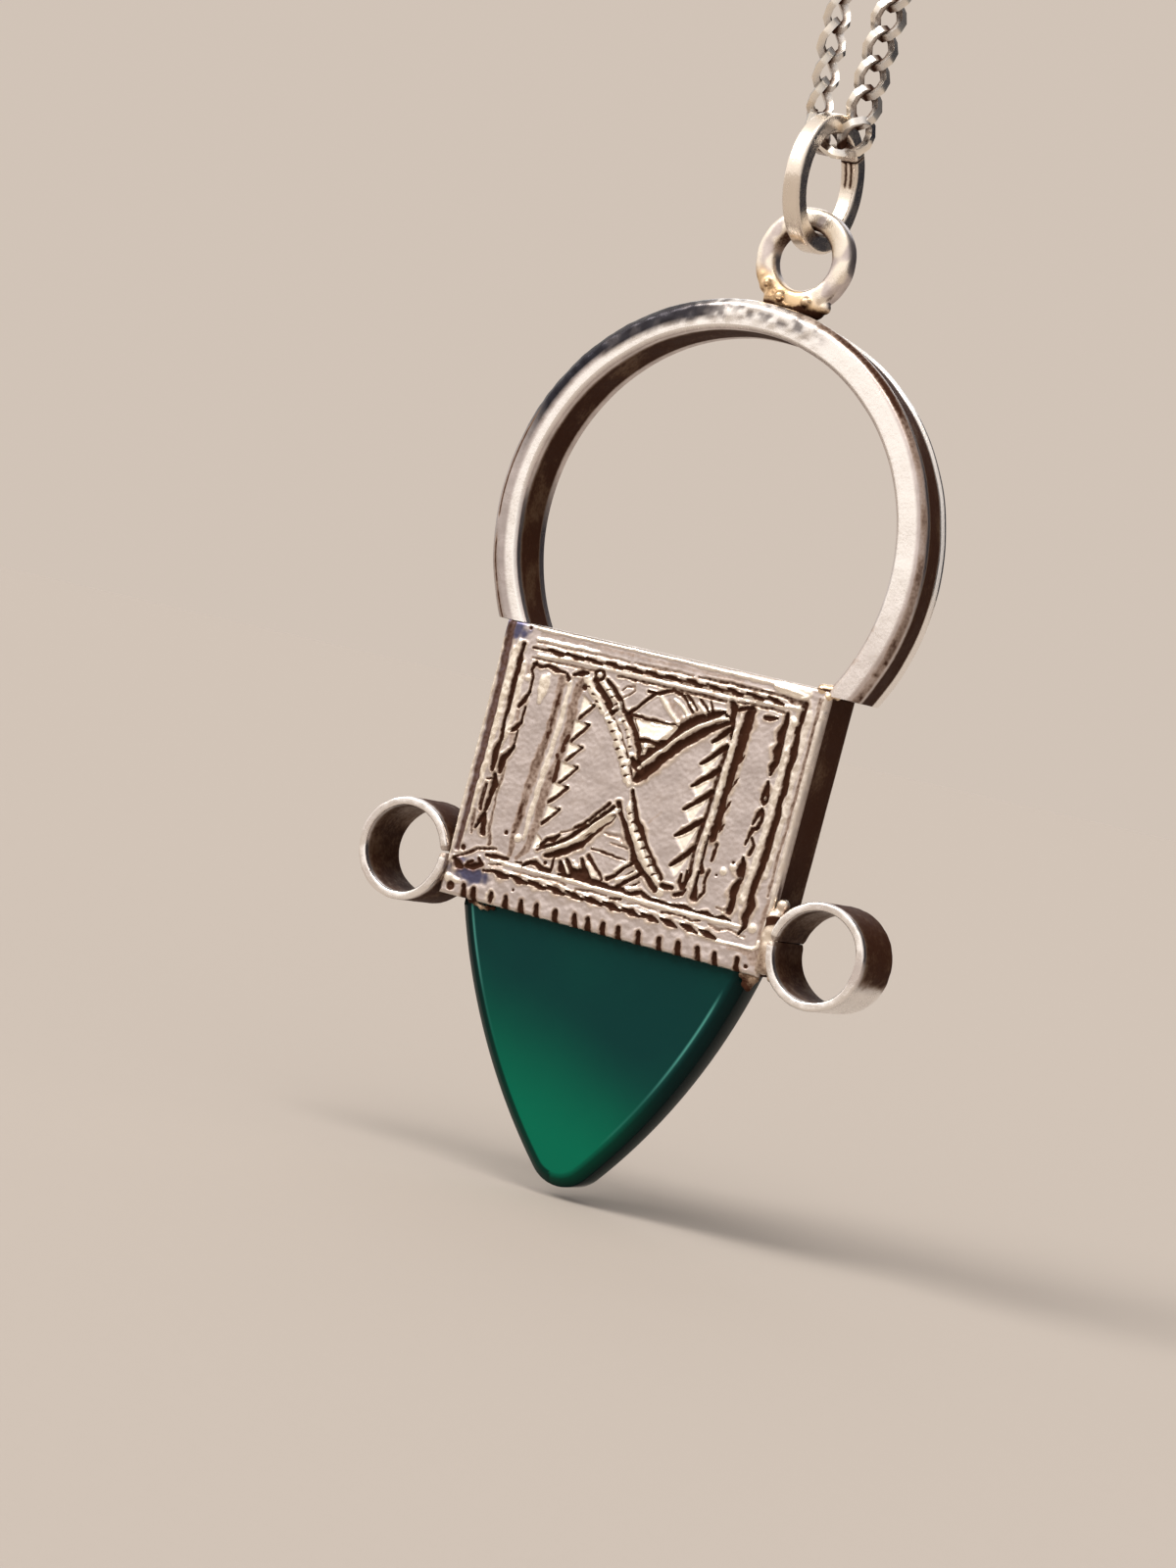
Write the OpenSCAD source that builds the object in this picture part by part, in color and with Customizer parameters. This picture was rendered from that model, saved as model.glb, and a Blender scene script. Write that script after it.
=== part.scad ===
// Cross necklace: a silver cross pendant with a tongue of green stone, on a fine chain.
// Millimetres. The chain hangs in a loop from the origin, with the pendant below it.
// +X is to the right of the engraved front, +Y goes from the front to the back, +Z is up.

/* [Box] */
// Width of the front plate
plate_w = 16.2; // [12:0.1:20]
// Height of the front plate
plate_h = 12.45; // [10:0.05:16]
// How far the plate's top edge sits to the right of its bottom edge
plate_lean = 0.4; // [0:0.05:0.6]
// How far the plate sits to the right of the pendant's middle line
plate_x = -0.15; // [-0.2:0.01:0.2]
// Thickness of the front plate
plate_t = 0.4; // [0.3:0.05:0.6]
// Depth of the box, from the plate's front to the back
box_d = 2.8; // [2.4:0.1:3.6]
// Thickness of the box's sides, top and back
wall_t = 0.25; // [0.2:0.05:0.4]

/* [Hoop] */
// Inner radius of the hoop
hoop_r = 9.15; // [8.5:0.05:10]
// Width of the hoop's front band
hoop_w = 1.35; // [1:0.05:1.6]
// Depth of the hoop, from front to back
hoop_d = 2.6; // [2:0.05:2.8]
// Height of the hoop's centre above the plate's bottom edge
hoop_z = 17.6; // [17:0.05:18]
// How far the hoop's centre sits to the right of the pendant's middle line
hoop_x = 0.36; // [0:0.02:0.5]

/* [Side tubes] */
// Outer radius of the side tubes
tube_r = 2.32; // [2:0.02:2.6]
// Thickness of the side tubes' strip
tube_t = 0.4; // [0.3:0.05:0.5]
// Length of the side tubes
tube_l = 3; // [2.5:0.1:3.5]
// Distance between the side tubes' axes
tube_span = 20.88; // [20.6:0.02:21]
// Height of the side tubes' axes above the plate's bottom edge
tube_z = 1.47; // [1.2:0.01:1.8]
// How far the middle between the side tubes sits to the right of the pendant's middle line
tube_x = -0.135; // [-0.2:0.005:0.2]

/* [Top ring] */
// Radius of the top ring, to the middle of its wire
ring_r = 1.82; // [1.7:0.02:2]
// Thickness of the top ring's wire
ring_wire = 0.95; // [0.8:0.05:1]
// How far the top ring sits to the right of the pendant's middle line
ring_x = 1.6; // [1.2:0.05:1.8]
// Height of the top ring's centre above the plate's bottom edge
ring_z = 30.25; // [30.2:0.05:30.3]

/* [Stone] */
// Width of the stone at the mouth of the box
stone_w = 14.7; // [14:0.1:14.9]
// How far the stone's tip reaches below the plate
stone_drop = 11.1; // [10:0.1:12]
// Thickness of the stone
stone_t = 1.95; // [1.6:0.05:2]
// Width of the polished bevel round the stone's faces
stone_bevel = 0.4; // [0.2:0.05:0.6]
// Radius of the stone's long sides
stone_side_r = 27; // [25:0.5:32]
// Radius of the stone's tip
stone_tip_r = 1.8; // [1.4:0.1:2.2]
// How far the stone reaches up into the box
stone_tang = 6; // [4:0.5:8]
// How far the stone's middle at the mouth sits to the right of the pendant's middle line
stone_x = -0.15; // [-0.2:0.01:0.2]
// How far the stone's tip is turned to the left, in degrees
stone_turn = 2.2; // [0:0.1:3]

/* [Jump ring] */
// Radius of the jump ring, to the middle of its wire
jump_r = 2.6; // [2.4:0.05:2.8]
// Thickness of the jump ring's wire
jump_wire = 0.85; // [0.7:0.05:0.85]

/* [Chain] */
// Thickness of the tube that stands for the chain
chain_d = 1.1; // [0.9:0.05:1.1]

/* [Clasp] */
// Radius of the clasp, to the middle of its wire
clasp_r = 2.5; // [2.3:0.05:2.6]
// Thickness of the clasp's wire
clasp_wire = 1.1; // [0.9:0.05:1.1]
// Radius of the end rings, to the middle of their wire
end_ring_r = 1.3; // [1.2:0.05:1.4]
// Thickness of the end rings' wire
end_wire = 0.6; // [0.5:0.05:0.6]

/* [Hidden] */
$fn = 96;
eps = 0.01;

silver = "#cdbfae";
bright_silver = "#d4d2cf";
stone_green = "#0c6a48";

// Space between pieces that hang in each other
hang_gap = 0.12;

// The chain's route, in the plane of the hoop, as [x, z] from the hang point.
// It leaves the clasp's lower end, runs down the right strand, through the jump ring,
// up the left strand, over the hang point and down to the clasp's upper end.
chain_route = [
    [9.1, -49.6], [8.9, -54], [7.6, -80], [5.7, -120], [3.7, -160], [1.8, -200], [1.15, -213],
    [1.05, -215.3], [1.05, -216], [1, -216.4], [0.75, -216.75], [0.4, -217], [0, -217.05],
    [-0.4, -217], [-0.75, -216.75], [-1, -216.4], [-1.05, -216], [-1.05, -215.3],
    [-1.15, -213], [-1.8, -200], [-3.7, -160], [-5.7, -120], [-7.6, -80], [-9.6, -40], [-10.6, -20],
    [-11, -12], [-10.9, -9.2], [-10.4, -6.7], [-9.4, -4.7], [-7.8, -2.7], [-5.5, -0.9], [-2.8, 0.2],
    [0, 0.55], [2.8, 0.2], [5.5, -0.9], [7.8, -2.7], [9.4, -4.7], [10.4, -6.7], [10.9, -9.2],
    [11, -12], [10.6, -20], [9.9, -34], [9.7, -37.8]
];
chain_sides = 8;
// Middle of the jump ring's wire where the chain bends round it
bend_z = -216;
// Middle of the clasp, and the slope of the strand that it hangs in
clasp_at = [9.35, 0, -45];
strand_slope = 2.8;

// The pendant hangs with the middle of its depth under the chain
ring_y = 1.35;
jump_at = [0, 0, bend_z - jump_r];
jump_low = bend_z - 2 * jump_r;
pendant_at = [-ring_x, -ring_y, jump_low - (ring_z + ring_r - (ring_wire + jump_wire) / 2 - hang_gap)];

// Eyelet that joins the clasp to its end ring
eyelet_r = 0.95;
eyelet_wire = 0.6;
eyelet_sink = 0.15;
eyelet_z = clasp_r + clasp_wire / 2 + eyelet_r - eyelet_sink;
upper_ring_z = eyelet_z + eyelet_r - (eyelet_wire + end_wire) / 2 - hang_gap + end_ring_r;
lower_ring_z = -(clasp_r - (clasp_wire + end_wire) / 2 - hang_gap + end_ring_r);

// The plate's outline, shrunk by an inset on its sides and top, from a given height up
function box_outline(inset, bottom = 0) = let (
    left = plate_x - (plate_w + plate_lean) / 2,
    slope = plate_lean / plate_h,
    top = plate_h - inset
) [
    [left + inset + slope * bottom, bottom],
    [left + plate_w - inset + slope * bottom, bottom],
    [left + plate_w - inset + slope * top, top],
    [left + inset + slope * top, top]
];

module torus(r, wire) {
    rotate_extrude() translate([r, 0]) circle(d = wire);
}

module ring_facing_front(r, wire) {
    rotate([90, 0, 0]) torus(r, wire);
}

module ring_facing_side(r, wire) {
    rotate([0, 90, 0]) torus(r, wire);
}

// A flat outline in X and Z, given a depth from y to y + depth
module upright(y, depth) {
    translate([0, y + depth, 0]) rotate([90, 0, 0]) linear_extrude(depth) children();
}

// The box is open at the bottom, where the stone comes out
module box_shell() {
    side_inset = 0.05;
    difference() {
        union() {
            upright(0, plate_t) polygon(box_outline(0));
            upright(plate_t - eps, box_d - plate_t + eps) polygon(box_outline(side_inset));
        }
        upright(plate_t, box_d - plate_t - wall_t) polygon(box_outline(side_inset + wall_t, -1));
    }
}

// Section of the hoop as [radius, depth]: a domed front band, a straight inner wall
// and an outer side that slopes in towards the back
hoop_section = [
    [hoop_r, 0.35], [hoop_r + 0.2, 0.1], [hoop_r + hoop_w / 2, 0], [hoop_r + hoop_w - 0.25, 0.1],
    [hoop_r + hoop_w, 0.4], [hoop_r + hoop_w - 0.3, hoop_d], [hoop_r, hoop_d]
];

module hoop() {
    // The feet stand on the box's top, the right one a little lower
    foot_left = plate_h - 0.06;
    foot_right = plate_h - 0.3;
    hoop_front = 0.05;
    reach = hoop_r + hoop_w + 1;
    below = [reach, hoop_d + 2, 2 * reach];
    difference() {
        translate([hoop_x, hoop_d + hoop_front, hoop_z]) rotate([90, 0, 0])
            rotate_extrude($fn = 180) polygon([for (p = hoop_section) [p[0], hoop_d - p[1]]]);
        translate([-reach, -1, foot_left - below[2]]) cube(below);
        translate([0, -1, foot_right - below[2]]) cube(below);
    }
}

module side_tube(x) {
    tube_front = -0.3;
    translate([x, tube_front + tube_l, tube_z]) rotate([90, 0, 0]) difference() {
        cylinder(r = tube_r, h = tube_l);
        translate([0, 0, -1]) cylinder(r = tube_r - tube_t, h = tube_l + 2);
    }
}

// Solder that runs the depth of the box between it and a side tube
module tube_solder(x) {
    solder_r = 0.4;
    solder_z = 1.27;
    translate([x, box_d - solder_r, solder_z]) rotate([90, 0, 0]) cylinder(r = solder_r, h = box_d - 2 * solder_r);
}

module top_ring() {
    // Two drops of solder join the ring to the hoop
    drop_r = 0.62;
    drop_x = 0.85;
    drop_z = hoop_z + hoop_r + hoop_w + 0.15;
    translate([ring_x, ring_y, ring_z]) ring_facing_front(ring_r, ring_wire);
    for (side = [-1, 1])
        translate([ring_x + side * drop_x, ring_y, drop_z]) sphere(r = drop_r);
}

module silver_cross() {
    // Where the solder runs down the box's left and right side
    solder_left = -8.3;
    solder_right = 7.85;
    color(silver) translate(pendant_at) union() {
        box_shell();
        hoop();
        side_tube(tube_x - tube_span / 2);
        side_tube(tube_x + tube_span / 2);
        tube_solder(solder_left);
        tube_solder(solder_right);
        top_ring();
    }
}

// The stone's outline, smaller all round by an inset
module stone_outline(inset) {
    half = stone_w / 2 - inset;
    side_r = stone_side_r - inset;
    tip_r = stone_tip_r - inset;
    tip_z = stone_tip_r - stone_drop;
    // Each long side is an arc that passes the mouth's corner and touches the tip's arc
    reach = stone_side_r - stone_tip_r;
    run = sqrt(pow(stone_w / 2, 2) + pow(tip_z, 2));
    fall = atan2(-tip_z, stone_w / 2);
    turn = acos((pow(stone_side_r, 2) + pow(run, 2) - pow(reach, 2)) / (2 * stone_side_r * run));
    centre_x = stone_w / 2 - stone_side_r * cos(turn - fall);
    centre_z = stone_side_r * sin(turn - fall);
    touch_z = tip_z - stone_tip_r * (centre_z - tip_z) / reach;
    translate([0, tip_z]) circle(r = tip_r, $fn = 32);
    intersection() {
        translate([centre_x, centre_z]) circle(r = side_r);
        translate([-centre_x, centre_z]) circle(r = side_r);
        translate([-half, touch_z]) square([2 * half, stone_tang - touch_z - inset]);
    }
}

module stone() {
    front = plate_t + (box_d - plate_t - wall_t - stone_t) / 2;
    color(stone_green) translate(pendant_at) translate([stone_x, 0, 0]) rotate([0, -stone_turn, 0])
        hull() {
            upright(front, stone_t) stone_outline(stone_bevel);
            upright(front + stone_bevel, stone_t - 2 * stone_bevel) stone_outline(0);
        }
}

module jump_ring() {
    color(silver) translate(jump_at) ring_facing_side(jump_r, jump_wire);
}

function unit(v) = v / norm(v);

function direction_at(route, i) = let (
    before = route[max(i - 1, 0)],
    after = route[min(i + 1, len(route) - 1)]
) unit([after[0] - before[0], 0, after[1] - before[1]]);

// A tube along a route that lies in the plane of X and Z
module tube_along(route, d, sides) {
    last = len(route) - 1;
    across = [0, 1, 0];
    points = [for (i = [0:last]) let (outward = cross(direction_at(route, i), across))
        for (k = [0:sides - 1]) let (a = 360 * (k + 0.5) / sides)
            [route[i][0], 0, route[i][1]] + d / 2 * (cos(a) * across + sin(a) * outward)];
    walls = [for (i = [0:last - 1]) for (k = [0:sides - 1]) let (next = (k + 1) % sides)
        [i * sides + k, (i + 1) * sides + k, (i + 1) * sides + next, i * sides + next]];
    ends = [[for (k = [0:sides - 1]) k], [for (k = [sides - 1:-1:0]) last * sides + k]];
    polyhedron(points, concat(walls, ends));
}

module chain() {
    color(bright_silver) tube_along(chain_route, chain_d, chain_sides);
}

module in_strand() {
    translate(clasp_at) rotate([0, strand_slope, 0]) children();
}

module clasp() {
    color(bright_silver) in_strand() union() {
        ring_facing_front(clasp_r, clasp_wire);
        translate([0, 0, eyelet_z]) ring_facing_front(eyelet_r, eyelet_wire);
    }
}

module end_ring_upper() {
    color(bright_silver) in_strand() translate([0, 0, upper_ring_z])
        ring_facing_side(end_ring_r, end_wire);
}

module end_ring_lower() {
    color(bright_silver) in_strand() translate([0, 0, lower_ring_z])
        ring_facing_side(end_ring_r, end_wire);
}

silver_cross();
stone();
jump_ring();
chain();
clasp();
end_ring_upper();
end_ring_lower();
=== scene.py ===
"""Cross necklace: an engraved silver cross pendant with a tongue of green stone, on a curb chain.

Lengths inside the makers are millimetres. The pendant's own coordinates start at the middle of
the front plate's bottom edge: X to the right, Y from front to back, Z up.
"""

import math

import bmesh
import bpy
import numpy as np
from mathutils import Matrix, Vector, noise


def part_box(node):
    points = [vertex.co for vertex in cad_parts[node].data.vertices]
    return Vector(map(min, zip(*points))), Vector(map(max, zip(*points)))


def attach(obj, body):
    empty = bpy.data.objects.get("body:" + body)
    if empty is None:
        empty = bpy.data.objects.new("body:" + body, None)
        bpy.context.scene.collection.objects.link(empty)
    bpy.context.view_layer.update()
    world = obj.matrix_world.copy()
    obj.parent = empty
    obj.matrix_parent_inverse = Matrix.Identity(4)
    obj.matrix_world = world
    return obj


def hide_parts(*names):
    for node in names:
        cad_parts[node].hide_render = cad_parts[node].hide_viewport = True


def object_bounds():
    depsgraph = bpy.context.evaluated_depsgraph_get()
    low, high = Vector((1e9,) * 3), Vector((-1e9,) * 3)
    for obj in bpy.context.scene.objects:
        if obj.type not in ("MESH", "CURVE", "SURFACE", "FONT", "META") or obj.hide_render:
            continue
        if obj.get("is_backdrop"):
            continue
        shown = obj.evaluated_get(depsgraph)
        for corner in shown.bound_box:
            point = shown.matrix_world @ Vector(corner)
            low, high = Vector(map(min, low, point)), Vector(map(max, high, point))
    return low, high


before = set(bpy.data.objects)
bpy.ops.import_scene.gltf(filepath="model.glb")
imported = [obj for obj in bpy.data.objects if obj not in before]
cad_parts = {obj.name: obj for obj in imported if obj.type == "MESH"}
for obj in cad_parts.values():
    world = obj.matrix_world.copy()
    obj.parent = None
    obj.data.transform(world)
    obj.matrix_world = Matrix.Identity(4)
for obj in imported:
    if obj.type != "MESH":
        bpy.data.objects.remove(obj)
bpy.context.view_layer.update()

bl_info = {
    "name": "Cross necklace",
    "version": (1, 0, 0),
    "blender": (4, 5, 0),
    "location": "View3D > Sidebar > Necklace",
    "description": "Builds the finished pieces of a silver cross necklace round its frame",
    "category": "Object",
}

MM = 0.001
# A distance beyond all others
FAR = 1e9

# Side tubes, with the height and the two sideways places of their middles
TUBE_RADIUS = 2.32
TUBE_WALL = 0.4
TUBE_LENGTH = 3.0
TUBE_FRONT = -0.3
TUBE_HEIGHT = 1.47
TUBE_X = (-10.575, 10.305)

# The pendant's origin in the frame. The left tube is the cross's lowest, leftmost and foremost part.
CROSS_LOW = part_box("silver_cross")[0] / MM
PENDANT_AT = Vector((
    CROSS_LOW.x - TUBE_X[0] + TUBE_RADIUS,
    CROSS_LOW.y - TUBE_FRONT,
    CROSS_LOW.z - TUBE_HEIGHT + TUBE_RADIUS,
))

PLATE_THICKNESS = 0.4
PLATE_WIDTH = 16.2
# Height by width, so that the cells of the plate's grid are nearly square
PLATE_SHAPE = 0.76
# The plate's worn edges: how far in they reach and how far they fall back
PLATE_EDGE = 0.16
PLATE_DROP = 0.12
# Corners of the plate: bottom left, bottom right, top left, top right
PLATE_CORNERS = ((-8.43, 0.0), (7.75, 0.0), (-8.07, 12.45), (8.14, 12.45))

BOX_DEPTH = 2.8
BOX_TOP = 12.4
WALL = 0.25
HOLLOW_TOP = 12.1
# How far the box's sides stand in from the plate's
BOX_INSET = 0.07

# The hoop's middle [x, z], and the heights of its left and right feet
HOOP_AT = (0.36, 17.6)
HOOP_INNER = 9.15
HOOP_OUTER = 10.5
HOOP_DEPTH = 2.6
HOOP_FEET = (12.42, 12.2)

# The middle of the top ring
RING_AT = (1.6, 1.35, 30.25)
RING_RADIUS = 1.82
RING_WIRE = 0.95

JUMP_RADIUS = 2.6
JUMP_WIRE = 0.85
# The seam lies on the back branch, a little above the middle, in degrees round the ring
JUMP_SEAM = 38
JUMP_GAP = 0.06

# Height of the small lumps in solder
LUMP_HEIGHT = 0.02

STONE_X = -0.15
# How far the tongue leans, in degrees
STONE_LEAN = 2.2
STONE_WIDTH = 14.7
STONE_DROP = 11.1
STONE_TANG = 6.0
STONE_THICKNESS = 1.95
STONE_SIDE_RADIUS = 27.0
STONE_TIP_RADIUS = 1.8
# Fall of the line along which the stone's painted shade gives way to painted light
STONE_SLANT = 0.3

# The chain's route [x, z], from the clasp's lower end round to its upper end
CHAIN_ROUTE = (
    (9.1, -49.6), (8.9, -54), (7.6, -80), (5.7, -120), (3.7, -160), (1.8, -200), (1.15, -213),
    (1.05, -215.3), (1.05, -216), (1, -216.4), (0.75, -216.75), (0.4, -217), (0, -217.05),
    (-0.4, -217), (-0.75, -216.75), (-1, -216.4), (-1.05, -216), (-1.05, -215.3),
    (-1.15, -213), (-1.8, -200), (-3.7, -160), (-5.7, -120), (-7.6, -80), (-9.6, -40), (-10.6, -20),
    (-11, -12), (-10.9, -9.2), (-10.4, -6.7), (-9.4, -4.7), (-7.8, -2.7), (-5.5, -0.9), (-2.8, 0.2),
    (0, 0.55), (2.8, 0.2), (5.5, -0.9), (7.8, -2.7), (9.4, -4.7), (10.4, -6.7), (10.9, -9.2),
    (11, -12), (10.6, -20), (9.9, -34), (9.7, -37.8),
)


# Meshes


def placed(name, data):
    """A new object in the scene, at the origin."""
    piece = bpy.data.objects.new(name, data)
    bpy.context.scene.collection.objects.link(piece)
    return piece


def piece_from(name, points, faces, finish=None, sharp_angle=40):
    """An object at the origin, from points in millimetres. Finish gives each point three masks."""
    mesh = bpy.data.meshes.new(name)
    mesh.from_pydata((points.reshape(-1, 3) * MM).tolist(), [], faces)
    if finish is not None:
        paint(mesh, finish)
    face_outwards(mesh)
    smooth(mesh, sharp_angle)
    return placed(name, mesh)


def paint(mesh, finish):
    """Gives each point of a mesh its three masks, for the materials to read."""
    layer = mesh.color_attributes.new("finish", "FLOAT_COLOR", "POINT")
    rgba = np.ones((len(mesh.vertices), 4), np.float32)
    rgba[:, :3] = np.clip(finish, 0, 1).reshape(-1, 3)
    layer.data.foreach_set("color", rgba.ravel())


def face_outwards(mesh, doubles=None):
    """Turns all faces outwards. Points nearer together than doubles, in metres, are merged first."""
    work = bmesh.new()
    work.from_mesh(mesh)
    if doubles is not None:
        bmesh.ops.remove_doubles(work, verts=work.verts, dist=doubles)
    bmesh.ops.recalc_face_normals(work, faces=work.faces)
    work.to_mesh(mesh)
    work.free()


def smooth(mesh, sharp_angle):
    """Smooth shading, apart from edges sharper than an angle in degrees."""
    mesh.shade_smooth()
    mesh.set_sharp_from_angle(angle=math.radians(sharp_angle))


def grid_faces(rows, columns, rows_close=False, columns_close=False):
    """Faces between rows of points. Where the rows don't close, the two end rows are filled."""
    faces = []
    for i in range(rows if rows_close else rows - 1):
        for k in range(columns if columns_close else columns - 1):
            i2, k2 = (i + 1) % rows, (k + 1) % columns
            faces.append((i * columns + k, i2 * columns + k, i2 * columns + k2, i * columns + k2))
    if columns_close and not rows_close:
        faces.append(tuple(range(columns)))
        faces.append(tuple((rows - 1) * columns + k for k in range(columns)))
    return faces


def in_pendant(points):
    """Points of the pendant's own coordinates, moved to their place in the frame."""
    return np.asarray(points, float) + np.array(PENDANT_AT)


def bound(*values):
    """Arrays and numbers side by side: points from x, y and z, or a finish from its three masks."""
    return np.stack(np.broadcast_arrays(*values), -1)


def rounded(corners, steps=5, longest=None):
    """A closed outline from corners (a, b, radius), its long stretches cut to a longest step."""
    outline = []
    count = len(corners)
    for i, (a, b, radius) in enumerate(corners):
        here = Vector((a, b))
        before = (Vector(corners[i - 1][:2]) - here).normalized()
        after = (Vector(corners[(i + 1) % count][:2]) - here).normalized()
        half = before.angle(after) / 2
        run = radius / math.tan(half)
        start, end = here + before * run, here + after * run
        centre = here + (before + after).normalized() * (radius / math.sin(half))
        for s in range(steps + 1):
            chord = start.lerp(end, s / steps) - centre
            outline.append(centre + chord.normalized() * radius)
    if longest is None:
        return [tuple(p) for p in outline]
    dense = []
    for i, p in enumerate(outline):
        q = outline[(i + 1) % len(outline)]
        pieces = max(1, math.ceil((q - p).length / longest))
        dense += [tuple(p.lerp(q, s / pieces)) for s in range(pieces)]
    return dense


def rough(points, size, seed):
    """Soft random numbers from -1 to 1 at points, whose bumps are about size across."""
    shift = Vector((seed, seed * 1.7, seed * 2.3))
    values = [noise.noise(Vector(p) / size + shift) for p in points.reshape(-1, 3)]
    return np.array(values).reshape(points.shape[:-1])


def fade(value, low, high):
    """0 below low, 1 above high and a smooth step between."""
    t = np.clip((value - low) / (high - low), 0, 1)
    return t * t * (3 - 2 * t)


# Engraving of the plate. A stroke's places are [x, z, width] on the plate, in millimetres.

# Dark cuts along the top edge: darkness, places
TOP_CUTS = (
    (0.5, ((-6.3, 11.72, 0.1), (-4.9, 11.7, 0.14), (-3.2, 11.74, 0.1), (-1.6, 11.72, 0.1))),
    (0.55, ((-1.3, 11.74, 0.1), (0.2, 11.75, 0.13), (1.6, 11.76, 0.1))),
    (0.7, ((1.9, 11.77, 0.1), (3.4, 11.79, 0.14), (4.9, 11.79, 0.12), (6, 11.76, 0.12),
           (6.5, 11.66, 0.22), (7, 11.68, 0.2))),
    (0.85, ((-6.45, 11.42, 0.12), (-5.7, 11.45, 0.1), (-1, 11.44, 0.12), (3, 11.46, 0.12),
            (5.8, 11.5, 0.1))),
    (0.55, ((-0.6, 11.32, 0.07), (3.6, 11.33, 0.09))),
    (0.65, ((-6.4, 10.98, 0.08), (-4.8, 11, 0.12), (-3.2, 11.02, 0.1))),
    (0.75, ((-2, 11.03, 0.1), (0.5, 11.04, 0.13), (3.4, 11.03, 0.15))),
    (0.7, ((4, 11.1, 0.1), (5.2, 11.14, 0.14), (6.3, 11.12, 0.14))),
    (1, ((-6.25, 10.76, 0.1), (-5.85, 10.68, 0.14), (-5.5, 10.78, 0.15), (-5.1, 10.7, 0.2),
         (-4.62, 10.68, 0.12))),
    (1, ((-4.15, 10.68, 0.12), (-3.85, 10.8, 0.22), (-3.5, 10.88, 0.16))),
    (1, ((-4.5, 10.66, 0.08), (-4.36, 10.44, 0.22))),
    (1, ((5.4, 10.72, 0.14), (5.65, 10.74, 0.2), (6, 10.8, 0.08))),
)
# Dark cuts along the left edge
LEFT_CUTS = (
    (1, ((-6.97, 11.5, 0.18), (-7, 11.1, 0.14), (-7, 10.75, 0.28), (-7.02, 10.1, 0.22),
         (-7.03, 9.4, 0.22), (-7.02, 8.6, 0.18), (-7.08, 7.9, 0.14), (-7, 7.3, 0.22),
         (-7.12, 6.7, 0.26), (-7.15, 6.2, 0.28), (-7.1, 5.8, 0.16))),
    (0.95, ((-6.15, 10.8, 0.14), (-6.3, 10.45, 0.14), (-6.15, 10.15, 0.12), (-6.15, 9.5, 0.12))),
    (1, ((-6.15, 9.5, 0.12), (-6.35, 9.05, 0.22), (-6.52, 8.75, 0.14))),
    (0.95, ((-6.2, 8.8, 0.1), (-6.22, 8.1, 0.14))),
    (1, ((-6.22, 8.1, 0.14), (-6.45, 7.8, 0.22), (-6.68, 7.65, 0.12))),
    (0.95, ((-6.3, 7.7, 0.1), (-6.3, 7, 0.14))),
    (1, ((-6.28, 7, 0.14), (-6.5, 6.65, 0.22), (-6.68, 6.4, 0.28), (-6.72, 6, 0.28), (-6.7, 5.8, 0.2))),
    (0.65, ((-6.5, 6, 0.1), (-6.55, 5.3, 0.13), (-6.62, 4.8, 0.08), (-6.6, 3.9, 0.1),
            (-6.55, 3.2, 0.15), (-6.42, 2.6, 0.15))),
    (1, ((-6.9, 5.6, 0.2), (-6.82, 5.2, 0.3), (-6.85, 4.9, 0.22), (-6.92, 4.4, 0.18),
         (-6.98, 4, 0.14))),
    (0.75, ((-7.3, 5.35, 0.08), (-6.95, 5.4, 0.14))),
    (0.85, ((-7.25, 5.1, 0.18), (-7.3, 4.5, 0.2), (-7.25, 4, 0.14))),
    (1, ((-7.28, 3.15, 0.12), (-7.1, 3.6, 0.22), (-6.98, 3.85, 0.16), (-6.9, 3.4, 0.28),
         (-6.85, 3, 0.24))),
    (0.65, ((-7.55, 3.9, 0.14), (-7.5, 3.3, 0.16), (-7.42, 2.9, 0.1))),
)
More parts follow.
